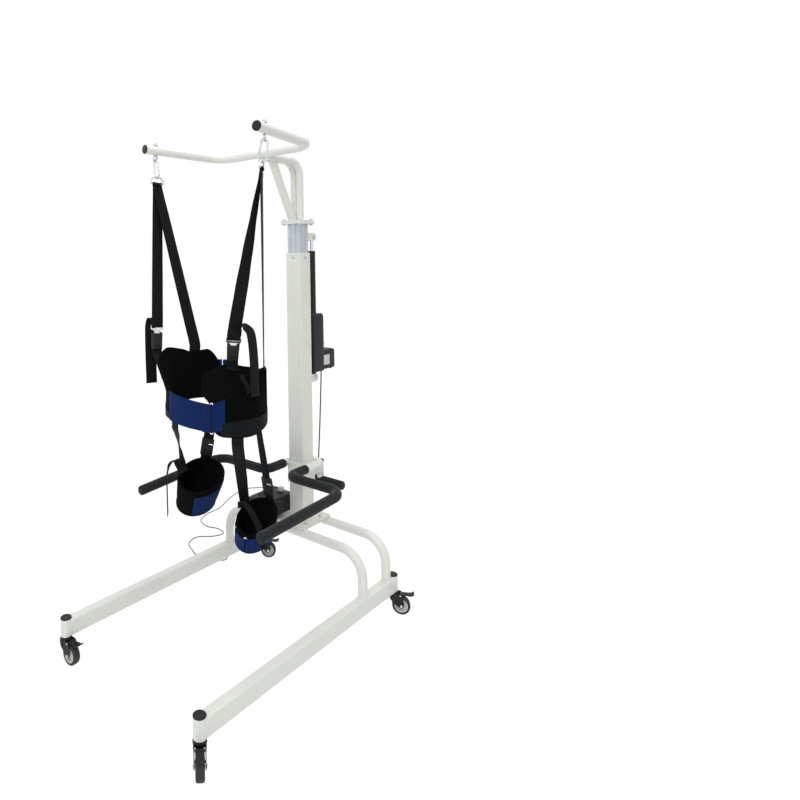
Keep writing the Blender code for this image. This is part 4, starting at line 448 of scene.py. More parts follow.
def evenly(dense, step):
    """Points about a step apart along a dense path."""
    length = sum((b - a).length for a, b in zip(dense, dense[1:]))
    count = max(2, round(length / step))
    made, walked, target = [dense[0]], 0.0, length / count
    for a, b in zip(dense, dense[1:]):
        run = (b - a).length
        while run > 0 and walked + run >= target and len(made) < count:
            made.append(a.lerp(b, (target - walked) / run))
            target += length / count
        walked += run
    return made + [dense[-1]]


def tangents_of(path, loop=False):
    """Direction of a path at each of its points."""
    count = len(path)
    found = []
    for i in range(count):
        ahead = path[(i + 1) % count] if loop else path[min(i + 1, count - 1)]
        behind = path[i - 1] if loop else path[max(i - 1, 0)]
        found.append((ahead - behind).normalized())
    return found


def carried_sides(path, first_side, loop=False):
    """Crosswise directions along a path, carried on without twist."""
    side = Vector(first_side)
    sides = []
    for tangent in tangents_of(path, loop):
        side = (side - tangent * side.dot(tangent)).normalized()
        sides.append(side)
    return sides


def sweep(path, sides, section, loop=False, scales=None):
    """Closed skin of a section, in metres across and through, carried along a path.
    Its UV map runs along the path and round the section, in metres."""
    bm = bmesh.new()
    layer = bm.loops.layers.uv.new("UVMap")
    tangents = tangents_of(path, loop)
    around = [0.0]
    for a, b in zip(section, section[1:] + section[:1]):
        around.append(around[-1] + math.dist(a, b))
    rings, along = [], [0.0]
    for i, point in enumerate(path):
        if i:
            along.append(along[-1] + (point - path[i - 1]).length)
        tangent = tangents[i]
        side = (sides[i] - tangent * sides[i].dot(tangent)).normalized()
        up = tangent.cross(side)
        scale = scales[i] if scales else 1.0
        rings.append([bm.verts.new(point + side * (a * scale) + up * (b * scale)) for a, b in section])
    if loop:
        rings.append(rings[0])
        along.append(along[-1] + (path[0] - path[-1]).length)
    count = len(section)
    for i in range(len(rings) - 1):
        for k in range(count):
            n = (k + 1) % count
            face = bm.faces.new((rings[i][k], rings[i][n], rings[i + 1][n], rings[i + 1][k]))
            for spot, (u, v) in zip(face.loops, ((along[i], around[k]), (along[i], around[k + 1]),
                                                 (along[i + 1], around[k + 1]), (along[i + 1], around[k]))):
                spot[layer].uv = (u, v)
    if not loop:
        bm.faces.new(rings[0])
        bm.faces.new(rings[-1])
    return bm


def circle(radius, sides):
    """Corners of a round section."""
    return [(radius * math.cos(2 * math.pi * k / sides), radius * math.sin(2 * math.pi * k / sides))
            for k in range(sides)]


def tube(path, radius, sides, first_side, loop=False):
    """Round rod along a path."""
    path = [Vector(p) for p in path]
    return sweep(path, carried_sides(path, first_side, loop), circle(radius, sides), loop)


def round_ended(path, radius, dome, first_side, sides):
    """Tube whose two ends are eased over by dome."""
    path = [Vector(p) for p in path]
    start_way = (path[1] - path[0]).normalized()
    end_way = (path[-2] - path[-1]).normalized()
    turns = [math.pi / 2 * k / 6 for k in range(7)]
    scales = [1 - dome / radius * (1 - math.sin(a)) for a in turns]
    head = [path[0] + start_way * (dome * (1 - math.cos(a))) for a in turns]
    tail = [path[-1] + end_way * (dome * (1 - math.cos(a))) for a in turns]
    whole = head + path[1:-1] + tail[::-1]
    whole_scales = scales + [1.0] * (len(path) - 2) + scales[::-1]
    return sweep(whole, carried_sides(whole, first_side), circle(radius, sides), False, whole_scales)


def rounded_square(side, corner):
    """Outline of a square with round corners."""
    return rounded_oblong((-side / 2, -side / 2), (side / 2, side / 2), corner, 8)


def rounded_oblong(low, high, corner, steps=6):
    """Outline of a rectangle with round corners."""
    points = []
    for cx, cy, start in ((high[0] - corner, high[1] - corner, 0), (low[0] + corner, high[1] - corner, 90),
                          (low[0] + corner, low[1] + corner, 180), (high[0] - corner, low[1] + corner, 270)):
        for k in range(steps + 1):
            angle = math.radians(start + 90 * k / steps)
            points.append((cx + corner * math.cos(angle), cy + corner * math.sin(angle)))
    return points


def plate(outline, z_low, z_high, edge=0.0008):
    """Flat plate of an outline, both rims eased."""
    middle = Vector((sum(p[0] for p in outline), sum(p[1] for p in outline))) / len(outline)
    rows = []
    for z, inset in ((z_low, edge), (z_low + edge, 0), (z_high - edge, 0), (z_high, edge)):
        row = []
        for p in outline:
            out = Vector(p) - middle
            row.append((*(middle + out - out.normalized() * inset), z))
        rows.append(row)
    return skinned(rows)


def skin_between(bm, rings, closed=False):
    """Faces between rings of corners, and from the last ring to the first."""
    pairs = list(zip(rings, rings[1:]))
    if closed:
        pairs.append((rings[-1], rings[0]))
    for one, two in pairs:
        for k in range(len(one)):
            n = (k + 1) % len(one)
            bm.faces.new((one[k], one[n], two[n], two[k]))


def skinned(rows):
    """Solid through rows of points, with a face on its first and last row."""
    bm = bmesh.new()
    rings = [[bm.verts.new(p) for p in row] for row in rows]
    skin_between(bm, rings)
    bm.faces.new(rings[0])
    bm.faces.new(rings[-1])
    return bm


def square_tube(outer, inner, z_low, z_high, edge=0.0006):
    """Hollow section standing up, its end rims eased."""
    bm = bmesh.new()
    rings = []
    for outline, z, inset in ((outer, z_low, 0), (outer, z_high - edge, 0), (outer, z_high, edge),
                              (inner, z_high, -edge), (inner, z_high - edge, 0), (inner, z_low, 0)):
        rings.append([bm.verts.new((x - math.copysign(inset, x), y - math.copysign(inset, y), z))
                      for x, y in outline])
    skin_between(bm, rings, closed=True)
    return bm


FLIPPED = Matrix(((1, 0, 0, 0), (0, 0, 1, 0), (0, 1, 0, 0), (0, 0, 0, 1)))      # y and z change places


def side_plate(outline, low, high):
    """Plate of an (x, z) outline, from y low to y high."""
    return shifted(plate(outline, low, high, 0.0006), FLIPPED)


# Geometry Nodes for what repeats
def tree_for(name, inputs):
    """Empty geometry tree with a mesh input, named inputs for its sizes, and a mesh output."""
    tree = bpy.data.node_groups.new(name, "GeometryNodeTree")
    face = tree.interface
    face.new_socket("Mesh", in_out="INPUT", socket_type="NodeSocketGeometry")
    for label, kind, value in inputs:
        socket = face.new_socket(label, in_out="INPUT", socket_type=kind)
        if value is not None:
            socket.default_value = value
    face.new_socket("Mesh", in_out="OUTPUT", socket_type="NodeSocketGeometry")
    return tree


def repeated(tree, points, instance, way, finish):
    """Ends a tree: an instance on every point, turned along a direction, real and painted."""
    turn = put(tree, "FunctionNodeAlignRotationToVector", {"Vector": way}, axis="Z")
    laid = put(tree, "GeometryNodeInstanceOnPoints", {"Points": points, "Instance": instance,
                                                      "Rotation": turn.outputs[0]})
    solid = put(tree, "GeometryNodeRealizeInstances", {"Geometry": laid.outputs[0]})
    painted = put(tree, "GeometryNodeSetMaterial", {"Geometry": solid.outputs[0], "Material": finish})
    put(tree, "NodeGroupOutput", {"Mesh": painted.outputs[0]})
    return tree


def stitch_tree():
    """Short thread lengths laid end to end along a line of points."""
    tree = tree_for("row_of_stitches", (("Pitch", "NodeSocketFloat", 0.004),
                                        ("Length", "NodeSocketFloat", 0.003),
                                        ("Thread", "NodeSocketFloat", 0.0004),
                                        ("Finish", "NodeSocketMaterial", None)))
    given = tree.nodes.new("NodeGroupInput").outputs
    line = put(tree, "GeometryNodeMeshToCurve", {"Mesh": given["Mesh"]})
    spaced = put(tree, "GeometryNodeResampleCurve", {"Curve": line.outputs[0], "Length": given["Pitch"]},
                 mode="LENGTH")
    way = put(tree, "GeometryNodeInputTangent")
    thread = put(tree, "GeometryNodeMeshCylinder", {"Vertices": 6, "Radius": given["Thread"],
                                                    "Depth": given["Length"]})
    return repeated(tree, spaced.outputs[0], thread.outputs["Mesh"], way.outputs[0], given["Finish"])


def bolt_tree():
    """Hexagon bolt with a washer on every point, standing along the point's normal."""
    tree = tree_for("hexagon_bolts", (("Head", "NodeSocketFloat", 0.0078),
                                      ("Height", "NodeSocketFloat", 0.0055),
                                      ("Washer", "NodeSocketFloat", 0.0095),
                                      ("Finish", "NodeSocketMaterial", None)))
    given = tree.nodes.new("NodeGroupInput").outputs
    half = put(tree, "ShaderNodeMath", {0: given["Height"], 1: 0.5}, operation="MULTIPLY")
    head = put(tree, "GeometryNodeMeshCylinder", {"Vertices": 6, "Radius": given["Head"],
                                                  "Depth": given["Height"]})
    crown = put(tree, "GeometryNodeMeshCone", {"Vertices": 6, "Radius Top": 0.0056,
                                               "Radius Bottom": given["Head"], "Depth": 0.0012})
    washer = put(tree, "GeometryNodeMeshCylinder", {"Vertices": 28, "Radius": given["Washer"],
                                                    "Depth": 0.0018})
    parts = []
    for shape, height in ((head, half.outputs[0]), (crown, given["Height"])):
        up = put(tree, "ShaderNodeCombineXYZ", {"Z": height})
        parts.append(put(tree, "GeometryNodeTransform", {"Geometry": shape.outputs["Mesh"],
                                                         "Translation": up.outputs[0]}))
    whole = put(tree, "GeometryNodeJoinGeometry")
    for part in (*parts, washer):
        tree.links.new(part.outputs[0], whole.inputs[0])
    way = put(tree, "GeometryNodeInputNamedAttribute", {"Name": "out"}, data_type="FLOAT_VECTOR")
    return repeated(tree, given["Mesh"], whole.outputs[0], way.outputs[0], given["Finish"])


def grown(name, mesh, tree, values, finish, body):
    """Runs a geometry tree on a mesh and keeps the result as a plain piece."""
    seed = linked(name + "_seed", mesh)
    modifier = seed.modifiers.new("grow", "NODES")
    modifier.node_group = tree
    for item in tree.interface.items_tree:
        if item.in_out == "INPUT" and item.name in values:
            modifier[item.identifier] = values[item.name]
    bpy.context.view_layer.update()
    shape = seed.evaluated_get(bpy.context.evaluated_depsgraph_get())
    made_mesh = bpy.data.meshes.new_from_object(shape)
    bpy.data.objects.remove(seed)
    made_mesh.name = name
    made_mesh.shade_smooth()
    made_mesh.set_sharp_from_angle(angle=math.radians(30))
    return dressed(linked(name, made_mesh), finish, body)


STITCHES = stitch_tree()
BOLTS = bolt_tree()
FRAME_BOLT = (0.0078, 0.0055, 0.0095)
STITCH = {"Pitch": 0.0042, "Length": 0.0030, "Thread": 0.00042}


def stitched(name, lines, thread="thread"):
    """Rows of stitches along several lines of the harness."""
    mesh = bpy.data.meshes.new(name)
    points, edges = [], []
    for line in lines:
        start = len(points)
        points += [tuple(Vector(p) + HOME) for p in line]
        edges += [(k, k + 1) for k in range(start, len(points) - 1)]
    mesh.from_pydata(points, edges, [])
    return grown(name, mesh, STITCHES, {**STITCH, "Finish": FINISH[thread][0]}, thread, "harness")


def bolted(name, places, body, size=FRAME_BOLT):
    """Hexagon bolts at places, each with the way that it stands.
    Their size is the head's radius and height and the washer's radius."""
    mesh = bpy.data.meshes.new(name)
    mesh.from_pydata([tuple(Vector(p) + HOME) for p, _ in places], [], [])
    out = mesh.attributes.new("out", "FLOAT_VECTOR", "POINT")
    for k, (_, way) in enumerate(places):
        out.data[k].vector = way
    values = dict(zip(("Head", "Height", "Washer"), size), Finish=FINISH["zinc"][0])
    return grown(name, mesh, BOLTS, values, "zinc", body)


# Driving sizes, from the mast's axis on the floor
SIDES = (("left", 1), ("right", -1))
LEG_X = 0.368
LEG_HALF = (0.020, 0.030)
LEG_MIDDLE = 0.125
LEG_TOP = 0.155
SOCKET_Y = {"front": -0.991, "rear": 0.143}
SOCKET_RADIUS = 0.0203
SOCKET_TOP = 0.159
ARCH_RADIUS = 0.019
ARCH_Z = 0.322
ARCH_Y = (-0.092, 0.088)
ARCH_BEND = 0.095
PLATE_LOW = 0.3395
PLATE_THICK = 0.006
FLANGE_LOW = PLATE_LOW + PLATE_THICK + GAP
FLANGE_TOP = FLANGE_LOW + PLATE_THICK
FOOT_BOLTS = [(x, y) for y in (-0.064, 0.045) for x in (0.068, -0.068)]
MAST_SIDE = 0.080
MAST_TOP = 1.537
COLUMN_SIDE = 0.068
COLUMN_LOW = 0.780
COLUMN_TOP = 1.668
HEAD_SIDE = 0.112
HEAD_THICK = 0.008
NECK_LOW = COLUMN_TOP + HEAD_THICK + GAP
NECK_TOP = NECK_LOW + HEAD_THICK
HEAD_BOLTS = [(sx * 0.044, sy * 0.044) for sx in (1, -1) for sy in (1, -1)]
NECK_RUN_Z = 1.953
NECK_X = 0.0166                      # of the neck's two tubes, to both sides
NECK_RADIUS = 0.016
NECK_BEND = 0.070
BRACE_RADIUS = 0.018
SPREADER_CORNER = Vector((0.258, -0.251, 1.968))
SPREADER_END = Vector((0.312, -0.631, 1.979))
SPREADER_RADIUS = 0.019
SPREADER_BEND = 0.095                # of the bar's middle line
SPREADER_BACK = 0.022                # the corners lie this far behind the arms' straight part
ACT_Y = 0.101
UPPER_PIN_Z = 1.611
LOWER_PIN_Z = 0.959
EAR_X = 0.0145                       # of the pins' lugs, to both sides
EAR_RADIUS = 0.018


def foot_outline():
    """Outline of the mast's foot and of the plate below it."""
    return rounded_oblong((-0.090, ARCH_Y[0] - 0.014), (0.090, ARCH_Y[1] + 0.006), 0.006)


WELD_GRAIN = 260.0       # of the ripples in a bead, to a metre
WELD_ROUGH = 0.0004
WELD_SEED = 5


def weld(centre, out, radius, size=0.0035):
    """Bead of weld round a tube where it meets a face."""
    ring = [(radius - 0.001, 0), (radius + size, 0), (radius + size * 0.75, size * 0.45),
            (radius + size * 0.3, size * 0.8), (radius - 0.001, size)]
    bead = turned(ring, centre, out, 48)
    for v in bead.verts:
        v.co += Vector(noise.noise_vector(v.co * WELD_GRAIN)) * WELD_ROUGH
    return bead


def build_legs():
    """Leg tubes with the casters' sockets, the arches' welds and the socket caps."""
    half_x, half_z = LEG_HALF
    section = rounded_oblong((-half_x, -half_z), (half_x, half_z), 0.004)
    front, rear = SOCKET_Y["front"], SOCKET_Y["rear"]
    for side, sx in SIDES:
        x = sx * LEG_X
        run = [Vector((x, front + (rear - front) * k / 24, LEG_MIDDLE)) for k in range(25)]
        parts, caps = [sweep(run, [Vector((1, 0, 0))] * len(run), section)], []
        for y in SOCKET_Y.values():
            parts.append(bar((x, y, 0.095), (x, y, SOCKET_TOP), SOCKET_RADIUS, 0.0008, 56))
            caps.append(turned([(0, 0), (0.0208, 0), (0.0211, 0.0008), (0.0209, 0.0030), (0.0195, 0.0046),
                                (0.0160, 0.0052), (0.0154, 0.0046), (0, 0.0046)], (x, y, SOCKET_TOP), UP, 56))
        parts += [weld((x, y, LEG_TOP), UP, ARCH_RADIUS) for y in ARCH_Y]
        piece(f"{side}_leg_tube", together(*parts), "enamel", "base", f"{side}_leg")
        piece(f"{side}_leg_caps", together(*caps), "cap", "base")


def build_arch_frame():
    """Two bent tubes that join the legs, with the plate for the mast's foot."""
    tubes = []
    for y in ARCH_Y:
        corners = [(-LEG_X, y, LEG_TOP), (-LEG_X, y, ARCH_Z), (LEG_X, y, ARCH_Z), (LEG_X, y, LEG_TOP)]
        tubes.append(tube(filleted(corners, (ARCH_BEND, ARCH_BEND), 24), ARCH_RADIUS, 48, (0, 1, 0)))
    foot = plate(foot_outline(), PLATE_LOW, PLATE_LOW + PLATE_THICK)
    piece("arches_and_foot_plate", together(*tubes, foot), "enamel", "base", "arch_frame")


def ear(x, y_from, z):
    """Lug for the actuator's pin, rounded about it."""
    outline = [(y_from, z - EAR_RADIUS), (y_from, z + EAR_RADIUS)]
    for a in [math.radians(v) for v in range(0, 181, 12)]:
        outline.append((ACT_Y + EAR_RADIUS * math.sin(a), z + EAR_RADIUS * math.cos(a)))
    rows = []
    for across, inset in ((-0.002, 0.0005), (-0.0015, 0), (0.0015, 0), (0.002, 0.0005)):
        row = []
        for y, zz in outline:
            out = Vector((y - ACT_Y, zz - z))
            shrunk = out * (1 - inset / max(out.length, 0.001)) if y > y_from else out
            row.append((x + across, ACT_Y + shrunk.x, z + shrunk.y))
        rows.append(row)
    return skinned(rows)


def build_mast():
    """Square mast with its seam of weld, foot flange, lower lugs, bolts and guide screws."""
    low = FLANGE_TOP - 0.001
    profile = square_tube(rounded_square(MAST_SIDE, 0.006), rounded_square(MAST_SIDE - 0.006, 0.003),
                          low, MAST_TOP)
    seam = square_tube(rounded_square(MAST_SIDE + 0.006, 0.009), rounded_square(MAST_SIDE - 0.002, 0.006),
                       low, FLANGE_TOP + 0.003, 0.002)
    flange = plate(foot_outline(), FLANGE_LOW, FLANGE_TOP)
    ears = [ear(sx * EAR_X, MAST_SIDE / 2 - 0.001, LOWER_PIN_Z) for _, sx in SIDES]
    piece("mast_tube", together(profile, seam, flange, *ears), "enamel", "base", "outer_mast")
    bolted("foot_bolts", through(FOOT_BOLTS, FLANGE_TOP, PLATE_LOW), "base")
    ways = [Matrix.Rotation(k * math.pi / 2, 3, "Z") @ Vector((1, 0, 0)) for k in range(4)]
    bolted("guide_screws", [(way * MAST_SIDE / 2 + UP * (MAST_TOP - 0.020), way) for way in ways], "base",
           (0.0048, 0.0026, 0.0060))


def through(places, top, low):
    """Bolt heads above and below two plates."""
    return [((x, y, top), (0, 0, 1)) for x, y in places] + [((x, y, low), (0, 0, -1)) for x, y in places]


def clevis_pin(name, z, body, node):
    """Pin across the lugs, with its head and retaining ring."""
    shape = turned([(0, 0), (0.0088, 0), (0.0100, 0.0012), (0.0100, 0.005), (0.0060, 0.005), (0.0060, 0.0386),
                    (0.0095, 0.0386), (0.0095, 0.0424), (0.0082, 0.0436), (0.0052, 0.0436), (0.0052, 0.0452),
                    (0, 0.0452)],
                   (-0.0218, ACT_Y, z), (1, 0, 0), 40)
    piece(name, shape, "zinc", body, node)


def column_outline():
    """Square extrusion with eased corners and two shallow grooves in each face."""
    half, deep, corner = COLUMN_SIDE / 2, COLUMN_SIDE / 2 - 0.0013, 0.004
    face = [(half - corner + corner * math.cos(a), -half + corner + corner * math.sin(a))
            for a in (math.radians(v) for v in range(-44, 1, 11))]
    for at in (-0.015, 0.015):
        face += [(half, at - 0.0023), (half - 0.0004, at - 0.0020), (deep, at - 0.0017),
                 (deep, at + 0.0017), (half - 0.0004, at + 0.0020), (half, at + 0.0023)]
    face += [(half - corner + corner * math.cos(a), half - corner + corner * math.sin(a))
             for a in (math.radians(v) for v in range(0, 45, 11))]
    points = []
    for quarter in range(4):
        c, s = math.cos(quarter * math.pi / 2), math.sin(quarter * math.pi / 2)
        points += [(x * c - y * s, x * s + y * c) for x, y in face]
    return points


def build_column():
    """Lifting extrusion with its head plate, upper lugs and bolts, and both pins."""
    body = skinned([[(x, y, z) for x, y in column_outline()] for z in (COLUMN_LOW, COLUMN_TOP)])
    ears = [ear(sx * EAR_X, COLUMN_SIDE / 2 - 0.002, UPPER_PIN_Z) for _, sx in SIDES]
    head = plate(rounded_square(HEAD_SIDE, 0.008), COLUMN_TOP, COLUMN_TOP + HEAD_THICK)
    piece("lifting_extrusion", body, "aluminium", "lift", "lifting_column", sharp=25)
    piece("column_head", together(head, *ears), "enamel", "lift")
    bolted("head_bolts", through(HEAD_BOLTS, NECK_TOP, COLUMN_TOP), "lift")
    clevis_pin("upper_pin", UPPER_PIN_Z, "lift", "upper_actuator_pin")
    clevis_pin("lower_pin", LOWER_PIN_Z, "base", "lower_actuator_pin")


def build_gooseneck():
    """Two bent neck tubes on their plate, with a brace below them."""
    end_y = SPREADER_CORNER.y + SPREADER_BACK
    parts = [plate(rounded_square(HEAD_SIDE, 0.008), NECK_LOW, NECK_TOP)]
    for _, sx in SIDES:
        x = sx * NECK_X
        corners = [(x, 0, NECK_TOP - 0.001), (x, 0, NECK_RUN_Z), (x, end_y, NECK_RUN_Z)]
        parts.append(tube(filleted(corners, (NECK_BEND,), 24), NECK_RADIUS, 48, (1, 0, 0)))
        parts.append(weld((x, 0, NECK_TOP), UP, NECK_RADIUS, 0.003))
    foot, head = Vector((0, -0.036, NECK_TOP - 0.002)), Vector((0, -0.180, NECK_RUN_Z))
    parts.append(tube([foot.lerp(head, k / 10) for k in range(11)], BRACE_RADIUS, 48, (1, 0, 0)))
    piece("gooseneck_tubes", together(*parts), "enamel", "lift", "gooseneck")


def on_side(v, sx):
    """The same place on the side of a sign."""
    return Vector((sx * v.x, v.y, v.z))


def eye_place(sx):
    """Point on an arm's axis where its eyebolt goes through."""
    return on_side(SPREADER_END + (SPREADER_CORNER - SPREADER_END).normalized() * 0.050, sx)


EYE_RING = 0.0110
EYE_WIRE = 0.0038
EYE_Z = eye_place(1).z - SPREADER_RADIUS - 0.0008 - EYE_RING - EYE_WIRE
CARABINER_YAW = {"left": 30.0, "right": -5.0}
LEAN = math.radians(6.5)
CARABINER_WIRE = 0.0038
TOP_BOW = 0.0115
LOW_BOW = 0.0165
DRING_WIRE = 0.0030
HOOK_GAP = 0.0009        # between parts that hang in each other
HOOK_HEIGHT = 0.092      # of a carabiner
RING_HEIGHT = 0.030      # of a D-ring
RING_CORNER = 0.006
WEB_WIDTH = 0.048
WEB_THICK = 0.0026


def hanger_axes(name):
    """Level directions of a carabiner: along its plane, and across it."""
    yaw = math.radians(CARABINER_YAW[name])
    return Vector((math.cos(yaw), math.sin(yaw), 0)), Vector((-math.sin(yaw), math.cos(yaw), 0))


def hang_point(name):
    """Middle of the carabiner's top bow."""
    at = eye_place(dict(SIDES)[name])
    return Vector((at.x, at.y, EYE_Z - EYE_RING + EYE_WIRE + HOOK_GAP + CARABINER_WIRE))


def hang_matrix(name):
    """Lean of what hangs below an eyebolt."""
    centre = hang_point(name)
    lean = LEAN if name == "left" else -LEAN
    return Matrix.Translation(centre) @ Matrix.Rotation(lean, 4, hanger_axes(name)[1]) \
        @ Matrix.Translation(-centre)


def low_bow_z():
    """Height of the wire's middle in a carabiner's lower bow."""
    return hang_point("left").z - HOOK_HEIGHT + 2 * CARABINER_WIRE


def ring_bar_z():
    """Height of a D-ring's straight bar."""
    return low_bow_z() + CARABINER_WIRE + HOOK_GAP + DRING_WIRE - RING_HEIGHT


def ring_bar(name):
    """Middle of a D-ring's straight bar, as it leans."""
    top = hang_point(name)
    return hang_matrix(name) @ Vector((top.x, top.y, ring_bar_z()))


def build_spreader():
    """Bent spreader bar with its welds, plugs and eyebolts, and the rings hung on them."""
    corner = SPREADER_CORNER + (SPREADER_CORNER - SPREADER_END).normalized() * SPREADER_BACK
    route = [on_side(SPREADER_END, -1), on_side(corner, -1), corner, SPREADER_END]
    whole = [tube(filleted(route, (SPREADER_BEND, SPREADER_BEND), 24), SPREADER_RADIUS, 48, UP)]
    for sx in (1, -1):
        whole.append(weld((sx * NECK_X, corner.y + 0.0175, NECK_RUN_Z + 0.002), (0, 1, 0), 0.0165, 0.003))
    piece("spreader_tube", together(*whole), "enamel", "lift", "spreader_bar")
    for name, sx in SIDES:
        end = on_side(SPREADER_END, sx)
        out = (end - on_side(SPREADER_CORNER, sx)).normalized()
        cap = turned([(0, -0.014), (0.0162, -0.014), (0.0162, 0), (0.0191, 0), (0.0192, 0.0024),
                      (0.0184, 0.0042), (0.0165, 0.0052), (0.0130, 0.0055), (0, 0.0055)], end, out, 48)
        piece(f"{name}_arm_plug", cap, "cap", "lift", f"{name}_spreader_plug")
        build_eyebolt(name, eye_place(sx))
        build_carabiner(name, sx)
        build_d_ring(name)


def arc(count, turn=math.pi):
    """Angles of an arc in count steps."""
    return [turn * k / count for k in range(count + 1)]


def build_eyebolt(name, at):
    """Eyebolt through an arm, with its washer, nut, bare thread and shoulder."""
    top, low = at.z + SPREADER_RADIUS + 0.0008, EYE_Z + EYE_RING
    along, across = hanger_axes(name)

    def standing(profile, z, segments):
        return turned(profile, (at.x, at.y, z), UP, segments)

    parts = [standing([(0, low - 0.002), (0.0044, low - 0.002), (0.0044, top + 0.0125),
                       (0.0036, top + 0.0135), (0, top + 0.0135)], 0, 28),
             standing([(0, 0), (0.0105, 0), (0.0108, 0.0004), (0.0108, 0.0016), (0.0103, 0.0020),
                       (0, 0.0020)], top, 40),
             hexagon((at.x, at.y, top + 0.0016), UP, 0.0082, 0.0072)]
    loop = [Vector((at.x, at.y, EYE_Z)) + across * (EYE_RING * math.cos(a)) + UP * (EYE_RING * math.sin(a))
            for a in arc(48, 2 * math.pi)[:-1]]
    parts.append(tube(loop, EYE_WIRE, 20, along, True))
    parts.append(standing([(0, 0), (0.0062, 0), (0.0066, 0.0012), (0.0058, 0.0026), (0, 0.0026)],
                          low + 0.0012, 32))
    for z in (0.0, 0.0011, 0.0022):
        parts.append(standing([(0.0040, z), (0.0047, z + 0.0005), (0.0040, z + 0.0010)], top + 0.0088, 28))
    piece(f"{name}_eye", together(*parts), "zinc", "lift", f"{name}_eyebolt", sharp=30)


def build_carabiner(name, sx):
    """Snap carabiner with its sprung gate."""
    top, lean = hang_point(name), hang_matrix(name)
    along, across = hanger_axes(name)
    bow_top, bow_low = top.z - TOP_BOW, low_bow_z() + LOW_BOW

    def at(s, z):
        return Vector((top.x, top.y, z)) + along * (sx * s)

    path = [at(-TOP_BOW, bow_top - 0.006)]
    path += [at(-TOP_BOW * math.cos(a), bow_top + TOP_BOW * math.sin(a)) for a in arc(24)]
    path += [at(LOW_BOW * math.cos(a), bow_low - LOW_BOW * math.sin(a)) for a in arc(24)]
    path.append(at(-LOW_BOW, bow_low + 0.006))
    body = round_ended(path, CARABINER_WIRE, 0.0012, across, 24)
    piece(f"{name}_snap_hook", shifted(body, lean), "zinc", "harness", f"{name}_carabiner")
    pivot, nose = at(-LOW_BOW, bow_low + 0.010), at(-TOP_BOW, bow_top - 0.0067)
    length = (nose - pivot).length
    sleeve = turned([(0, -0.0032), (0.0018, -0.0026), (0.0030, -0.0010), (0.0034, 0), (0.0034, length * 0.42),
                     (0.0042, length * 0.44), (0.0042, length * 0.84), (0.0034, length * 0.86),
                     (0.0033, length - 0.0006), (0.0028, length), (0, length)], pivot, nose - pivot, 28)
    rivet = bar(pivot - across * 0.0044, pivot + across * 0.0044, 0.0014, 0.0003, 16)
    piece(f"{name}_hook_gate", shifted(together(sleeve, rivet), lean), "zinc", f"{name}_gate",
          f"{name}_carabiner_gate")


def build_d_ring(name):
    """D-ring below a carabiner: a straight bar, two tight corners and a round bow."""
    top = hang_point(name)
    along, across = hanger_axes(name)
    half, corner = (WEB_WIDTH + 0.017) / 2, RING_CORNER
    flat = [(-half + corner, 0), (0, 0), (half - corner, 0)]
    flat += [(half - corner * (1 - math.sin(a)), corner * (1 - math.cos(a))) for a in (0.5, 1.0)]
    flat += [(half * math.cos(a), corner + (RING_HEIGHT - corner) * math.sin(a)) for a in arc(32)]
    flat += [(-half + corner * (1 - math.sin(a)), corner * (1 - math.cos(a))) for a in (1.0, 0.5)]
    loop = [Vector((top.x, top.y, ring_bar_z() + z)) + across * s for s, z in flat]
    ring = shifted(tube(loop, DRING_WIRE, 20, along, True), hang_matrix(name))
    piece(f"{name}_strap_ring", ring, "zinc", "harness", f"{name}_d_ring")


def build_actuator():
    """Lift actuator: barrel, gearbox with motor, and the rod that rides with the column."""
    outer = [(0, 0), (0.0180, 0), (0.0180, 0.416), (0.0186, 0.4165), (0.0186, 0.4300), (0.0176, 0.4332),
             (0.0125, 0.4340), (0.0110, 0.4332), (0.0106, 0.4260), (0, 0.4260)]
    piece("actuator_barrel", turned(outer, (0, ACT_Y, 1.112), UP, 48), "abs", "base", "actuator_tube")
    build_gearbox()
    rod_top = UPPER_PIN_Z - 0.010
    rod = bar((0, ACT_Y, 1.170), (0, ACT_Y, rod_top), 0.010, 0.0008, 44)
    fork_eye = bar((-0.009, ACT_Y, UPPER_PIN_Z), (0.009, ACT_Y, UPPER_PIN_Z), 0.014, 0.0012, 44)
    collar = turned([(0, 0), (0.0112, 0), (0.0118, 0.0008), (0.0118, 0.0060), (0.0108, 0.0070), (0, 0.0070)],
                    (0, ACT_Y, rod_top - 0.009), UP, 40)
    piece("actuator_piston", together(rod, fork_eye, collar), "chrome", "lift", "actuator_rod")


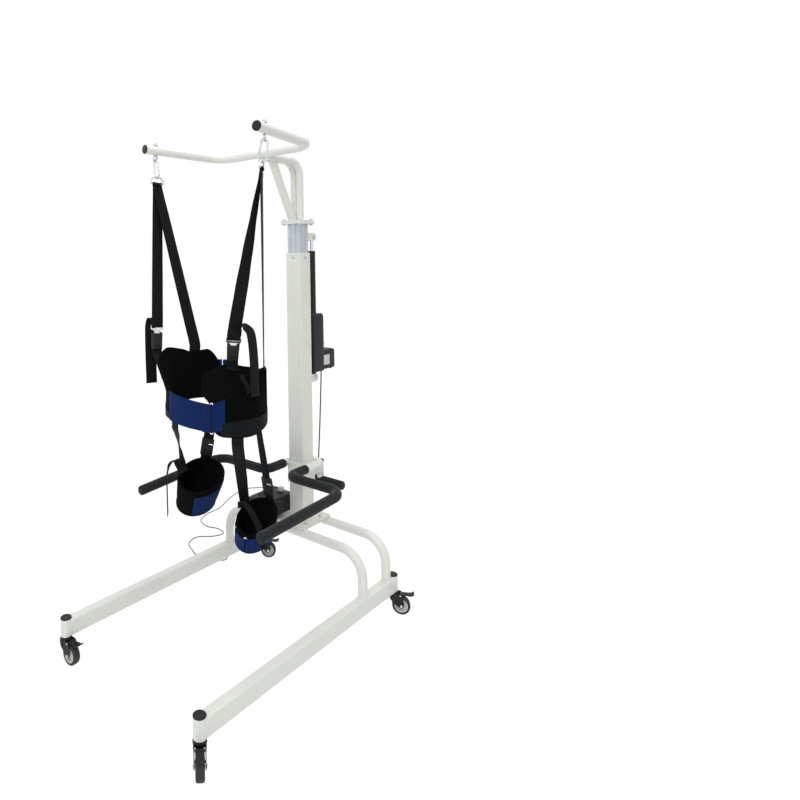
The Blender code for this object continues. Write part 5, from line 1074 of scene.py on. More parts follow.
def build_gearbox():
    """Gearbox with its lid, parting line, motor, eye and lead gland, labels and screws."""
    y, z = ACT_Y, LOWER_PIN_Z
    parts = [rounded_box((-0.034, y - 0.040, 0.985), (0.034, y + 0.047, 1.250), 0.010, 5),
             rounded_box((-0.0300, y - 0.034, 1.246), (0.0300, y + 0.041, 1.2535), 0.0030, 3),
             rounded_box((-0.0345, y - 0.0405, 1.113), (0.0345, y + 0.0475, 1.1155), 0.0010, 2),
             rounded_box((-0.033, y, 0.990), (0.033, 0.236, 1.082), 0.012, 5),
             rounded_box((-0.0336, 0.196, 0.9894), (0.0336, 0.2005, 1.0826), 0.0020, 3),
             rounded_box((-0.009, y - 0.012, z), (0.009, y + 0.012, 0.997), 0.001, 2),
             bar((-0.009, y, z), (0.009, y, z), 0.014, 0.001, 40),
             turned([(0, 0), (0.0048, 0), (0.0056, 0.0030), (0.0066, 0.0110), (0, 0.0110)],
                    (-0.030, 0.205, 0.9797), UP, 28)]
    piece("actuator_gearbox", together(*parts), "abs", "base", "actuator_housing")
    labels = [rounded_box((-0.021, 0.2345, 1.010), (0.021, 0.2366, 1.060), 0.0008, 2)]
    for x in (0.0325, -0.0325):
        labels.append(rounded_box((x - 0.0009, 0.125, 1.012), (x + 0.0009, 0.188, 1.058), 0.0006, 2))
    piece("actuator_plain_labels", together(*labels), "label", "base")
    screws = [((x, y + dy, 1.2535), (0, 0, 1)) for x in (0.026, -0.026) for dy in (-0.028, 0.035)]
    bolted("gearbox_screws", screws, "base", (0.0022, 0.0010, 0.0030))


BAR_RADIUS = 0.016
FOAM_RADIUS = 0.0195
BAR_Z = 0.583
COLLAR_SIDE = 0.092
POST_Y = 0.146
PUSH_Z = 0.474
POST_TOP = 0.562


def bar_corners(sx):
    """Corners of one side of the handlebar, from the back of the collar to the front end."""
    x = COLLAR_SIDE / 2 + GAP + BAR_RADIUS
    rough = ((x, 0.076, 0), (x, -0.172, 0), (0.337, -0.172, 0), (0.326, -0.655, -0.024))
    return [Vector((sx * a, b, BAR_Z + c)) for a, b, c in rough]


def build_handlebars():
    """Sliding collar with the bent handlebar, and the push handle behind it."""
    bore = rounded_square(MAST_SIDE + 0.0012, 0.006)
    collar = square_tube(rounded_square(COLLAR_SIDE, 0.009), bore, 0.504, 0.594, 0.0015)
    lip = square_tube(rounded_square(MAST_SIDE + 0.0100, 0.0085), bore, 0.5035, 0.506, 0.0008)
    piece("sliding_collar", together(collar, lip), "enamel", "handlebars", "handlebar_collar")
    path = filleted(bar_corners(1)[::-1] + bar_corners(-1), (0.060, 0.042, 0.030, 0.030, 0.042, 0.060), 14)
    piece("bent_handlebar", tube(path, BAR_RADIUS, 44, UP), "enamel", "handlebars", "handlebar_tube")
    for name, sx in SIDES:
        rear, bend, front, tip = bar_corners(sx)
        start = Vector((rear.x, -COLLAR_SIDE / 2 - GAP, BAR_Z))
        end = tip + (tip - front).normalized() * 0.008
        foam_grip(f"{name}_foam_grip", evenly(filleted([start, bend, front, end], (0.042, 0.060), 14), 0.006),
                  f"{name}_handle_grip")
    tall = POST_TOP - PUSH_Z
    post = turned([(0, 0), (0.016, 0), (0.016, tall), (0, tall)], (0, POST_Y, PUSH_Z), UP, 44)
    arm = rounded_box((-0.016, COLLAR_SIDE / 2 + GAP, POST_TOP - 0.048), (0.016, POST_Y, POST_TOP - 0.010),
                      0.003, 3)
    cross = bar((-0.117, POST_Y, PUSH_Z), (0.117, POST_Y, PUSH_Z), 0.0125, 0.001, 40)
    piece("push_post", together(post, arm, cross), "enamel", "handlebars", "push_handle_frame")
    foam_grip("push_foam_grip", [Vector((-0.125 + 0.250 * k / 40, POST_Y, PUSH_Z)) for k in range(41)],
              "push_handle_grip")
    cap = turned([(0, 0), (0.0170, 0), (0.0172, 0.0010), (0.0170, 0.0040), (0.0155, 0.0060), (0.0120, 0.0069),
                  (0, 0.0070)], (0, POST_Y, POST_TOP + GAP), UP, 44)
    piece("post_cap", cap, "cap", "handlebars", "push_post_cap")


def foam_grip(name, route, node):
    """Foam grip along a route, its skin pressed in and out by small amounts."""
    grip = round_ended(route, FOAM_RADIUS, 0.006, UP, 44)
    bmesh.ops.recalc_face_normals(grip, faces=grip.faces)
    grip.normal_update()
    moves = {v: v.normal * (0.0005 * noise.noise(v.co * 60)) for v in grip.verts}
    for v, move in moves.items():
        v.co += move
    piece(name, grip, "foam", "handlebars", node)


CONNECTOR = Vector((-0.086, -0.040, 0.4583))


def build_control_box():
    """Battery and control case on the mast, with the charging lead's connector."""
    x = -MAST_SIDE / 2 - GAP
    low, high = Vector((x - 0.118, -0.196, 0.372)), Vector((x, -0.010, 0.448))
    body = rounded_box(low, high - Vector((0, 0, 0.004)), 0.006, 4)
    lid = rounded_box(low + Vector((0.0012, 0.0012, 0.050)), high - Vector((0.0012, 0.0012, 0)), 0.0045, 4)
    groove = rounded_box(low + Vector((-0.0006, -0.0006, 0.0485)),
                         Vector((high.x, high.y + 0.0006, low.z + 0.0505)), 0.0004, 1)
    gland = turned([(0, 0), (0.0070, 0), (0.0070, 0.0040), (0.0052, 0.0050), (0.0046, 0.0120), (0, 0.0120)],
                   (-0.102, -0.0120, 0.410), (0, 1, 0), 28)
    piece("battery_control_case", together(body, lid, groove, gland), "abs", "base", "control_box")
    ribs = []
    for k in range(4):
        left = low.x + 0.020 + 0.008 * k
        ribs.append(rounded_box((left, -0.150, 0.4475), (left + 0.003, -0.090, 0.4492), 0.0005, 1))
    piece("case_ribs", together(*ribs), "cap", "base")
    screws = [((low.x + dx, y, 0.4478), (0, 0, 1)) for dx in (0.010, 0.108) for y in (-0.186, -0.020)]
    bolted("case_screws", screws, "base", (0.0024, 0.0010, 0.0032))
    at = CONNECTOR - Vector((0, 0, 0.010))
    parts = [rounded_box(at - Vector((0.014, 0.010, 0)), at + Vector((0.010, 0.010, 0.020)), 0.003, 4)]
    for k in range(4):
        left = at + Vector((-0.008 + 0.004 * k, -0.0104, 0.004))
        parts.append(rounded_box(left, left + Vector((0.002, 0.0208, 0.012)), 0.0004, 1))
    piece("lead_connector", together(*parts), "nylon", "base", "charging_connector")


# Casters, each trailing along its own +X from the swivel axis
CASTER_HEADING = {"left_front": -43.0, "left_rear": 29.0, "right_front": 4.5, "right_rear": 35.0}
WHEEL_RADIUS = 0.0375
TRAIL = 0.033
PEDAL_PIN = Vector((0.030, 0.0, 0.0812))


CASTER_INNER = 0.0162    # inner and outer face of a fork's cheek, from its middle
CASTER_OUTER = 0.0190
CENTRE = (0, 0, 0)
SIDEWAYS = (0, 1, 0)


def wheel_tread():
    """Crowned tread about the wheel's axle."""
    half = [(0.0268, 0.0132), (0.0285, 0.0140), (0.0325, 0.0140), (0.0352, 0.0128), (0.0368, 0.0104),
            (0.0374, 0.0070)]
    profile = [(r, -y) for r, y in half] + [(WHEEL_RADIUS, 0.0)] + half[::-1]
    return turned(profile, CENTRE, SIDEWAYS, 72)


def wheel_hub():
    """Nylon hub whose web has six windows between its boss and rim."""
    parts = [turned([(0.0235, -0.0128), (0.0270, -0.0128), (0.0270, 0.0128), (0.0235, 0.0128)],
                    CENTRE, SIDEWAYS, 60),
             turned([(0.0043, -0.0150), (0.0085, -0.0150), (0.0095, -0.0140), (0.0095, 0.0140),
                     (0.0085, 0.0150), (0.0043, 0.0150)], CENTRE, SIDEWAYS, 36)]
    for k in range(6):
        spoke = rounded_box((0.0080, -0.0060, -0.0030), (0.0245, 0.0060, 0.0030), 0.0012, 2)
        parts.append(shifted(spoke, Matrix.Rotation(k * math.pi / 3, 4, "Y")))
    parts.append(turned([(0.0080, -0.0012), (0.0240, -0.0012), (0.0240, 0.0012), (0.0080, 0.0012)],
                        CENTRE, SIDEWAYS, 48))
    return together(*parts)


def cheek_outline():
    """Side view of a fork's cheek."""
    rough = [(-0.016, 0.0845), (-0.012, 0.062), (TRAIL - 0.010, 0.0315), (TRAIL, 0.0275),
             (TRAIL + 0.010, 0.0335), (TRAIL + 0.012, 0.0495), (0.037, 0.0812), (0.032, 0.0872),
             (0.018, 0.0872), (-0.006, 0.0872)]
    return softened_outline(rough)


def softened_outline(points):
    """Cuts the corners of an outline twice, which rounds them."""
    for _ in range(2):
        cut = []
        for a, b in zip(points, points[1:] + points[:1]):
            cut += [(a[0] * 0.8 + b[0] * 0.2, a[1] * 0.8 + b[1] * 0.2),
                    (a[0] * 0.2 + b[0] * 0.8, a[1] * 0.2 + b[1] * 0.8)]
        points = cut
    return points


def caster_fork():
    """Fork with its swivel head, race, two ribbed cheeks and their bridge."""
    inner, outer = CASTER_INNER, CASTER_OUTER
    parts = [turned([(0, 0.0815), (0.0205, 0.0815), (0.0220, 0.0828), (0.0222, 0.0895), (0.0212, 0.0922),
                     (0.0180, 0.0935), (0.0120, 0.0940), (0, 0.0940)], CENTRE, UP, 48),
             turned([(0.0150, 0.0758), (0.0188, 0.0758), (0.0196, 0.0775), (0.0196, 0.0815),
                     (0.0150, 0.0815)], CENTRE, UP, 44)]
    parts += [side_plate(cheek_outline(), low, low + 0.0028) for low in (inner, -outer)]
    parts.append(rounded_box((-0.014, -outer + 0.0005, 0.0805), (0.020, outer - 0.0005, 0.0840), 0.0012, 2))
    parts += [side_plate([(-0.010, 0.080), (-0.007, 0.066), (0.002, 0.058), (0.004, 0.080)], y, y + 0.0016)
              for y in (outer, -outer - 0.0016)]
    return together(*parts)


def caster_axle():
    """Axle bolt across the fork, and the heads of the pedal's rivet."""
    outer, pin = CASTER_OUTER, PEDAL_PIN
    parts = [hexagon((TRAIL, s * outer, WHEEL_RADIUS), (0, s, 0), 0.0052, 0.0030) for s in (1, -1)]
    parts.append(bar((TRAIL, -outer, WHEEL_RADIUS), (TRAIL, outer, WHEEL_RADIUS), 0.0036, 0.0004, 24))
    for s in (1, -1):
        start, end = (pin.x, s * (outer - 0.001), pin.z), (pin.x, s * (outer + 0.0016), pin.z)
        parts.append(bar(start, end, 0.0034, 0.0008, 24))
    return together(*parts)


def build_casters():
    """Four casters, each turned to the heading that the photograph shows."""
    for name, heading in CASTER_HEADING.items():
        side, end = name.split("_")
        at = Vector((dict(SIDES)[side] * LEG_X, SOCKET_Y[end], 0))
        place = Matrix.Translation(at) @ Matrix.Rotation(math.radians(heading), 4, "Z")
        hub_place = place @ Matrix.Translation((TRAIL, 0, WHEEL_RADIUS))
        piece(f"{name}_tread", shifted(wheel_tread(), hub_place), "tread", f"{name}_wheel",
              f"{name}_caster_wheel")
        piece(f"{name}_hub", shifted(wheel_hub(), hub_place), "hub", f"{name}_wheel", sharp=30)
        piece(f"{name}_fork", shifted(caster_fork(), place), "abs", f"{name}_caster", f"{name}_caster_fork")
        piece(f"{name}_axle_and_rivet", shifted(caster_axle(), place), "zinc", f"{name}_caster", sharp=30)
        piece(f"{name}_pedal", shifted(pedal(), place), "abs", f"{name}_brake", f"{name}_brake_pedal")


def pedal():
    """Brake lever: barrel, sloping plate with grip ribs, and an upturned tip."""
    pin, z = PEDAL_PIN, PEDAL_PIN.z
    barrel = bar((pin.x, -0.0156, z), (pin.x, 0.0156, z), 0.0046, 0.0006, 28)
    middle = [(0.0318, -0.0002), (0.045, 0.0008), (0.062, 0.0006), (0.072, 0.0010), (0.080, 0.0036),
              (0.0868, 0.0080)]
    path = smooth([Vector((x, 0, z + rise)) for x, rise in middle], 0.003)
    rows = []
    for p, way in zip(path, tangents_of(path)):
        half = 0.013 + 0.003 * min(1.0, max(0.0, (p.x - 0.055) / 0.020))
        up = Vector((-way.z, 0, way.x))
        section = rounded_oblong((-half, -0.0003), (half, 0.0033), 0.0012, 3)
        rows.append([p + Vector((0, y, 0)) + up * u for y, u in section])
    ribs = [rounded_box((x, -0.0115, z + 0.0034), (x + 0.0016, 0.0115, z + 0.0048), 0.0005, 1)
            for x in (0.052, 0.057, 0.062, 0.067)]
    return together(barrel, skinned(rows), *ribs)


# Harness: belt of two padded panels, hung by webbing and closed by loop tape
BELT_MIDDLE_Y = -0.565
BELT_A = {"left": 0.246, "right": 0.195}
BELT_B = 0.158
BELT_THICK = 0.012
CUFF_THICK = 0.011
RIM_STEPS = (0.0, 0.0004, 0.0014, 0.0030, 0.0052)   # rows close to a soft edge
CORNER = 0.024           # radius of the panels' corners
SEAM_RUN = 0.030
STRAP_CORNER = 0.0011
BAND_TOP = 1.000         # where the stiff band at the hem ends and the panel may lean
PANEL_SCALE = 0.20       # metres of belt to a radian, for spacing the panels' grids
PANEL_HEIGHT = 0.20
GRID_STEP = 0.0075
RING_BEND = 0.006        # of the wire rings

PANELS = {
    "left": {
        "span": (-56, 112),
        "top": ((-56, 1.040), (-48, 1.070), (-40, 1.090), (-20, 1.120), (4, 1.110), (14, 1.100),
                (30, 1.105), (55, 1.085), (90, 1.076), (112, 1.050)),
        "bottom": ((-56, 0.885), (-45, 0.875), (-15, 0.875), (10, 0.890), (45, 0.920), (75, 0.940),
                   (112, 0.940)),
        "lean": ((-56, 0.060), (-48, 0.095), (-40, 0.115), (-15, 0.098), (4, 0.050), (14, 0.012),
                 (30, 0.0), (112, 0.0)),
        "way": Vector((-1.0, 0.06, 0.0)), "anchor": -16.0, "rear": 27.0, "seed": 3.0,
    },
    "right": {
        "span": (118, 262),
        "top": ((118, 1.100), (131, 1.135), (140, 1.135), (150, 1.125), (162, 1.137), (180, 1.146),
                (190, 1.143), (205, 1.118), (215, 1.085), (226, 1.055), (240, 1.015), (250, 1.000),
                (262, 0.992)),
        "bottom": ((118, 0.940), (160, 0.935), (185, 0.920), (215, 0.905), (262, 0.905)),
        "lean": ((118, 0.0), (136, 0.0), (150, 0.020), (162, 0.035), (182, 0.055), (205, 0.062),
                 (215, 0.055), (226, 0.030), (245, 0.0), (262, 0.0)),
        "way": Vector((-1.0, 0.0, 0.0)), "anchor": 204.0, "rear": 148.0, "seed": 8.0,
    },
}
BUCKLES = {
    "left": ((0.188, -0.634, 1.207), (0.1605, -0.6115, 1.1385), (0.74, 0.64, 0.0)),
    "right": ((-0.272, -0.611, 1.216), (-0.262, -0.620, 1.143), (0.42, 0.90, 0.0)),
}
TAILS = {
    "left": ((0.2190, -0.6300, 1.272), (0.2370, -0.6120, 1.262), (0.2480, -0.6030, 1.235),
             (0.2540, -0.5980, 1.150), (0.2560, -0.5960, 1.020)),
    "right": ((-0.2960, -0.6120, 1.268), (-0.3080, -0.6130, 1.250), (-0.3100, -0.6150, 1.215),
              (-0.3060, -0.6170, 1.120), (-0.3000, -0.6180, 1.000)),
}
TAIL_ACROSS = {"left": Vector((0.0, 1.0, 0.0)), "right": Vector((0.42, 0.90, 0.0))}
TAIL_SIDE = {"left": -1, "right": 1}      # face of the tongue that the tail leaves from
CLOSINGS = {
    "front": {"strip": (246, 302), "low": (0.903, 0.890), "high": (1.013, 0.991), "return": (305, 317),
              "seed": 5.0},
    "rear": {"strip": (94, 112.5), "low": (1.052, 1.052), "high": (1.096, 1.096), "return": (116, 132),
             "seed": 9.0},
}
CUFFS = {
    "left": {"centre": (0.113, -0.410, 0.466), "axis": (-0.05, 0.54, -0.84), "half": (0.084, 0.091),
             "height": 0.110, "taper": 0.95, "strap": (78, -34), "return": (86, 150),
             "hangs": (("left", -30.0, 195.0), ("left", 62.0, 275.0)), "sag": 0.130,
             "drift": (-0.030, -0.030, 0.0), "seed": 21.0},
    "right": {"centre": (-0.150, -0.468, 0.565), "axis": (-0.22, 0.42, -0.88), "half": (0.098, 0.100),
              "height": 0.140, "taper": 0.88, "strap": (-66, 62), "return": (-74, -100),
              "hangs": (("right", 256.0, 172.0), ("right", 126.0, 240.0)), "sag": 0.120,
              "drift": (-0.030, -0.030, 0.0), "seed": 14.0},
}


def eased(table, t):
    """Value at t on a smooth curve through rows of (t, value)."""
    rows = [table[0], *table, table[-1]]
    for (_, v0), (t1, v1), (t2, v2), (_, v3) in zip(rows, rows[1:], rows[2:], rows[3:]):
        if t <= t2 and t2 > t1:
            return curve(v0, v1, v2, v3, max(0.0, (t - t1) / (t2 - t1)))
    return table[-1][1]


def belt_half(t):
    """Half width of the belt on the side of angle t."""
    return BELT_A["left" if math.cos(math.radians(t)) > 0 else "right"]


def on_belt(t, z, offset):
    """Point at angle t in degrees on the belt's outer ellipse, moved out by offset."""
    a = math.radians(t)
    wide = belt_half(t)
    out = Vector((math.cos(a) / wide, math.sin(a) / BELT_B, 0)).normalized()
    return Vector((wide * math.cos(a), BELT_MIDDLE_Y + BELT_B * math.sin(a), z)) + out * offset


def dented(p, depth, seed):
    """Gentle hollows and folds of soft goods at a point."""
    broad = noise.noise(p * 11.0 + Vector((seed, 0, 0)))
    fine = noise.noise(p * 31.0 + Vector((0, seed, 3.0)))
    return depth * (broad + 0.35 * fine)


def panel_point(name, t, share, offset=0.0):
    """Point on a panel's middle surface, share of the way up, moved out by offset."""
    data = PANELS[name]
    top, low, lean = (eased(data[key], t) for key in ("top", "bottom", "lean"))
    run = min(abs(t - end) for end in data["span"]) * math.radians(1) * PANEL_SCALE
    cut = CORNER - math.sqrt(max(0.0, CORNER ** 2 - max(0.0, CORNER - run) ** 2))
    top, low = top - cut, low + cut
    z = low + share * (top - low)
    fold = min(BAND_TOP, low + 0.6 * (top - low))
    reach = max(0.0, (z - fold) / (top - fold)) ** 1.4
    return on_belt(t, z, offset - BELT_THICK / 2) + data["way"] * (max(0.0, lean) * reach)


def edged(length, step):
    """Distances along a soft piece: close together at both ends, a step apart between."""
    count = max(2, round((length - 2 * RIM_STEPS[-1]) / step))
    inner = [RIM_STEPS[-1] + (length - 2 * RIM_STEPS[-1]) * k / count for k in range(1, count)]
    return [*RIM_STEPS, *inner, *[length - v for v in reversed(RIM_STEPS)]]


def grid_normals(grid, loop):
    """Way out of a sheet at each point of its grid."""
    rows, cols = len(grid), len(grid[0])
    made = []
    for i in range(rows):
        ahead = (i + 1) % rows if loop else min(i + 1, rows - 1)
        back = i - 1 if loop else max(i - 1, 0)
        column = []
        for j in range(cols):
            du = grid[ahead][j] - grid[back][j]
            dv = grid[i][min(j + 1, cols - 1)] - grid[i][max(j - 1, 0)]
            column.append(du.cross(dv).normalized())
        made.append(column)
    return made


def distances(points):
    """Length of a path up to each of its points."""
    made = [0.0]
    for a, b in zip(points, points[1:]):
        made.append(made[-1] + (b - a).length)
    return made


NO_FULLNESS = (0.0, 0.0, 1.0)


def soft_sheet(grid, half, dent, seed, loop=False, fullness=NO_FULLNESS):
    """Closed padded sheet about a grid of columns of points, with round rims and dents.
    Fullness is its most, where it starts from the edge, and its run. The UV map is in metres."""
    rows, cols = len(grid), len(grid[0])
    most, start, run = fullness
    bm = bmesh.new()
    layer = bm.loops.layers.uv.new("UVMap")
    normals = grid_normals(grid, loop)
    middle = distances([column[cols // 2] for column in grid])
    outer, inner, spots = [], [], []
    for i in range(rows):
        up = distances(grid[i])
        one, two = [], []
        for j in range(cols):
            out = normals[i][j]
            d = min(up[j], up[-1] - up[j]) if loop else min(up[j], up[-1] - up[j], middle[i],
                                                            middle[-1] - middle[i])
            rim = math.sqrt(max(0.0, 1 - (1 - min(d, half) / half) ** 2))
            full = most * min(1.0, max(0.0, d - start) / run)
            at = grid[i][j] + out * dented(grid[i][j], dent, seed) * min(1.0, d / 0.02)
            if rim < 1e-6:
                one.append(bm.verts.new(at))
                two.append(one[-1])
            else:
                one.append(bm.verts.new(at + out * ((half + full) * rim)))
                two.append(bm.verts.new(at - out * (half * rim)))
        outer.append(one)
        inner.append(two)
        spots.append([(middle[i], v) for v in up])
    for i in range(rows if loop else rows - 1):
        n = (i + 1) % rows
        for j in range(cols - 1):
            corners = ((i, j), (n, j), (n, j + 1), (i, j + 1))
            sheet_face(bm, layer, outer, corners, spots)
            sheet_face(bm, layer, inner, corners[::-1], spots)
    return bm


def sheet_face(bm, layer, verts, corners, spots):
    """Face of a sheet, where its corners aren't all on a rim."""
    found = []
    for i, j in corners:
        if verts[i][j] not in [v for v, _ in found]:
            found.append((verts[i][j], spots[i][j]))
    if len(found) < 3:
        return
    face = bm.faces.new([v for v, _ in found])
    for loop, (_, uv) in zip(face.loops, found):
        loop[layer].uv = uv


def flat_section(width, thick):
    """Section of webbing."""
    corner = min(STRAP_CORNER, thick * 0.45)
    return rounded_oblong((-width / 2, -thick / 2), (width / 2, thick / 2), corner, 3)


def webbing_run(rows, width=WEB_WIDTH, thick=WEB_THICK, step=0.006):
    """Webbing along a smooth curve through rows of (point, direction across)."""
    points = [Vector(p) for p, _ in rows]
    path, marks = smooth(points, step), distances(points)
    walked, sides = distances(path), []
    for share in [d / walked[-1] for d in walked]:
        d = share * marks[-1]
        k = max(i for i, mark in enumerate(marks[:-1]) if mark <= d + 1e-9)
        u = min(1.0, (d - marks[k]) / (marks[k + 1] - marks[k]))
        sides.append(Vector(rows[k][1]).lerp(Vector(rows[k + 1][1]), u * u * (3 - 2 * u)).normalized())
    return sweep(path, sides, flat_section(width, thick))


def facing(v, guide):
    """Direction, turned round where it points away from a guide."""
    return -v if v.dot(guide) < 0 else v


def between(one, two, shares):
    """Rows of (point, direction across) at shares of the way from one row to another."""
    return [(one[0].lerp(two[0], s), Vector(one[1]).lerp(two[1], s).normalized()) for s in shares]


def box_stitch(centre, across, along, wide, high, lift):
    """Lines of a sewn box with its cross, standing a little proud of the webbing."""
    out = Vector(across).cross(Vector(along)).normalized() * lift
    a, b = Vector(across).normalized() * wide / 2, Vector(along).normalized() * high / 2
    c = [centre + out + a * x + b * y for x, y in ((-1, -1), (1, -1), (1, 1), (-1, 1))]
    return [[c[0], c[1]], [c[1], c[2]], [c[2], c[3]], [c[3], c[0]], [c[0], c[2]], [c[1], c[3]]]


def upright_axes(across, up):
    """Axes with Z up along a strap and X crosswise."""
    x = (across - up * across.dot(up)).normalized()
    return axes(x, up.cross(x), up)


def buckle_matrix(name):
    """Buckle's own axes: X crosswise, Z up along the strap, origin at its top."""
    top, low, wide = [Vector(v) for v in BUCKLES[name]]
    return Matrix.Translation(top) @ upright_axes(wide, (top - low).normalized())


def rim_seat(name, t):
    """Middle of a panel's top rim at angle t, clear of it, and the direction along it."""
    at = panel_point(name, t, 1.0)
    top = max(panel_point(name, t + k, 1.0).z for k in (-6, -3, 0, 3, 6))
    return Vector((at.x, at.y, top + 0.0004)), belt_tangent(t)


def hem_seat(name, t):
    """Middle of a panel's hem at angle t, clear of it, and the direction along it."""
    low = min(panel_point(name, t + k, 0.0).z for k in (-6, -3, 0, 3, 6))
    return on_belt(t, low - 0.0004, -BELT_THICK / 2), belt_tangent(t)


def belt_tangent(t):
    """Direction along the belt at angle t."""
    a = math.radians(t)
    return Vector((-belt_half(t) * math.sin(a), BELT_B * math.cos(a), 0)).normalized()


def loft(outlines):
    """Solid through (outline, height) rows."""
    return skinned([[(x, y, z) for x, y in outline] for outline, z in outlines])


MOUTH_SLANT = 0.42           # of the buckle's mouth, down towards the tongue's face
MOUTH_LOW = -0.0115          # where its slanted part begins
BUCKLE_HALF_DEPTH = 0.0110
TONGUE_Y = -0.0036           # of the tongue plate's middle, in the buckle's axes
BUCKLE_ROWS = (              # (height, half width, half depth) of the shell
    (-0.0740, 0.0190, 0.0075), (-0.0732, 0.0204, 0.0088), (-0.0710, 0.0212, 0.0096),
    (-0.0600, 0.0215, 0.0100), (-0.0300, 0.0222, 0.0106), (-0.0125, 0.0228, 0.0109),
    (-0.0120, 0.0224, 0.0105), (-0.0112, 0.0224, 0.0105), (-0.0107, 0.0229, 0.0110),
    (-0.0020, 0.0230, 0.0110), (-0.0006, 0.0226, 0.0106), (0.0000, 0.0216, 0.0096),
    (0.0000, 0.0196, 0.0088), (-0.0016, 0.0192, 0.0084),
)
BUTTON_ROWS = ((-0.0100, 0.0148, 0.0036), (0.0006, 0.0148, 0.0036), (0.0016, 0.0142, 0.0031),
               (0.0020, 0.0128, 0.0020))


def build_buckle(name):
    """Seat-belt buckle with its red button, chrome tongue and the webbing stub below."""
    place = buckle_matrix(name)
    shell = loft([(rounded_oblong((-w, -d), (w, d), min(0.0045, d * 0.6), 5), z) for z, w, d in BUCKLE_ROWS])
    for vert in shell.verts:
        if vert.co.z > MOUTH_LOW:
            vert.co.z -= MOUTH_SLANT * (BUCKLE_HALF_DEPTH - vert.co.y)
    ribs = [rounded_box((-0.0150, -0.0112, z), (0.0150, 0.0112, z + 0.0012), 0.0005, 2)
            for z in (-0.052, -0.056, -0.060)]
    piece(f"{name}_buckle_shell", shifted(together(shell, *ribs), place), "abs", "harness", f"{name}_buckle")
    button = loft([(rounded_oblong((-w, 0.0046 - d), (w, 0.0046 + d), 0.0014, 4), z)
                   for z, w, d in BUTTON_ROWS])
    piece(f"{name}_red_button", shifted(button, place), "red", f"{name}_button", f"{name}_buckle_button")
    build_tongue(name, place @ Matrix.Translation((0, TONGUE_Y, 0)) @ FLIPPED)
    wide = place.to_3x3() @ Vector((1, 0, 0))
    rows = [(place @ Vector((0, 0, z)), wide) for z in (-0.066, -0.080)]
    rows += [(panel_point(name, PANELS[name]["anchor"], share, BELT_THICK / 2 + 0.0012), wide)
             for share in (0.93, 0.82, 0.7, 0.6)]
    piece(f"{name}_buckle_webbing", webbing_run(rows, 0.042, 0.0030), "web", "harness")


def build_tongue(name, place):
    """Tongue plate: blade in the buckle, and slotted frame for the webbing."""
    blade = plate([(-0.0110, -0.0260), (0.0110, -0.0260), (0.0110, 0.0005), (0.0205, 0.0080),
                   (-0.0205, 0.0080), (-0.0110, 0.0005)], -0.0011, 0.0011, 0.0004)
    piece(f"{name}_tongue_blade", shifted(blade, place), "chrome", "harness")
    rim = rounded_oblong((-0.0270, 0.0060), (0.0270, 0.0268), 0.0050, 6)
    slot = rounded_oblong((-0.0236, 0.0125), (0.0236, 0.0205), 0.0030, 6)
    frame_plate = shifted(square_tube(rim, slot, -0.0013, 0.0013, 0.0004), place)
    piece(f"{name}_tongue_frame", frame_plate, "cap" if name == "left" else "chrome", "harness")


BAR_SEAM = 0.030             # of the sewn box below the D-ring's bar
KNOT = (                     # (off the tongue, height) of the webbing through the tongue's slot
    (-0.0060, 0.0460), (-0.0042, 0.0300), (-0.0030, 0.0210), (0.0, 0.0158), (0.0034, 0.0205),
    (0.0062, 0.0340),
)


def build_hanger(name):
    """One length of webbing over the D-ring's bar, to the tongue and to the belt's rim."""
    place, lean = buckle_matrix(name), hang_matrix(name).to_3x3()
    along, across = hanger_axes(name)
    bar_at, up = ring_bar(name), lean @ UP
    wide = facing(place.to_3x3() @ Vector((1, 0, 0)), across)
    end, end_wide = rim_seat(name, PANELS[name]["rear"])
    end_wide = facing(end_wide, across)
    out = lean @ facing(along, place.translation - end)
    radius = DRING_WIRE + WEB_THICK / 2 + 0.0002
    over = [(bar_at + out * (radius * math.cos(a)) + up * (radius * math.sin(a)), across)
            for a in [math.radians(v) for v in range(-20, 201, 20)]]
    knot = [(place @ Vector((0, TONGUE_Y + TAIL_SIDE[name] * y, z)), wide) for y, z in KNOT]
    tail_wide = facing(TAIL_ACROSS[name], wide)
    clear = out * (WEB_THICK / 2 + 0.0001)
    front, back = [(bar_at + way - up * 0.020, across) for way in (clear, -clear)]
    top = (end + UP * SEAM_RUN, end_wide)
    runs = [sweep([p for p, _ in over], [a for _, a in over], flat_section(WEB_WIDTH, WEB_THICK)),
            webbing_run([over[0], front, *between(front, knot[0], (0.25, 0.5, 0.75)), *knot[:4]]),
            webbing_run([*knot[3:], *[(Vector(p), tail_wide) for p in TAILS[name]]], WEB_WIDTH - 0.002,
                        WEB_THICK, 0.004),
            webbing_run([over[-1], back, *between(back, top, (0.3, 0.6, 0.85)), top, (end, end_wide)],
                        WEB_WIDTH - 0.002)]
    piece(f"{name}_hanger_webbing", together(*runs), "web", "harness", f"{name}_hanger_strap")
    lines = []
    for lift in (0.0044, -0.0044):
        lines += box_stitch(bar_at - up * BAR_SEAM, across, up, 0.036, 0.026, lift)
    lines += box_stitch(Vector(TAILS[name][-1]) + UP * 0.012, tail_wide, UP, 0.034, 0.012, 0.0016)
    for lift in (0.0016, -0.0016):
        lines += box_stitch(end + UP * 0.016, end_wide, UP, 0.036, 0.022, lift)
    stitched(f"{name}_hanger_stitching", lines)
    patch = [(end + UP * 0.001, end_wide)]
    patch += [(panel_point(name, PANELS[name]["rear"], share, BELT_THICK / 2 + 0.0016), end_wide)
              for share in (0.97, 0.85, 0.7, 0.5, 0.3)]
    piece(f"{name}_rear_patch", webbing_run(patch, WEB_WIDTH - 0.002, 0.0028), "web", "harness")


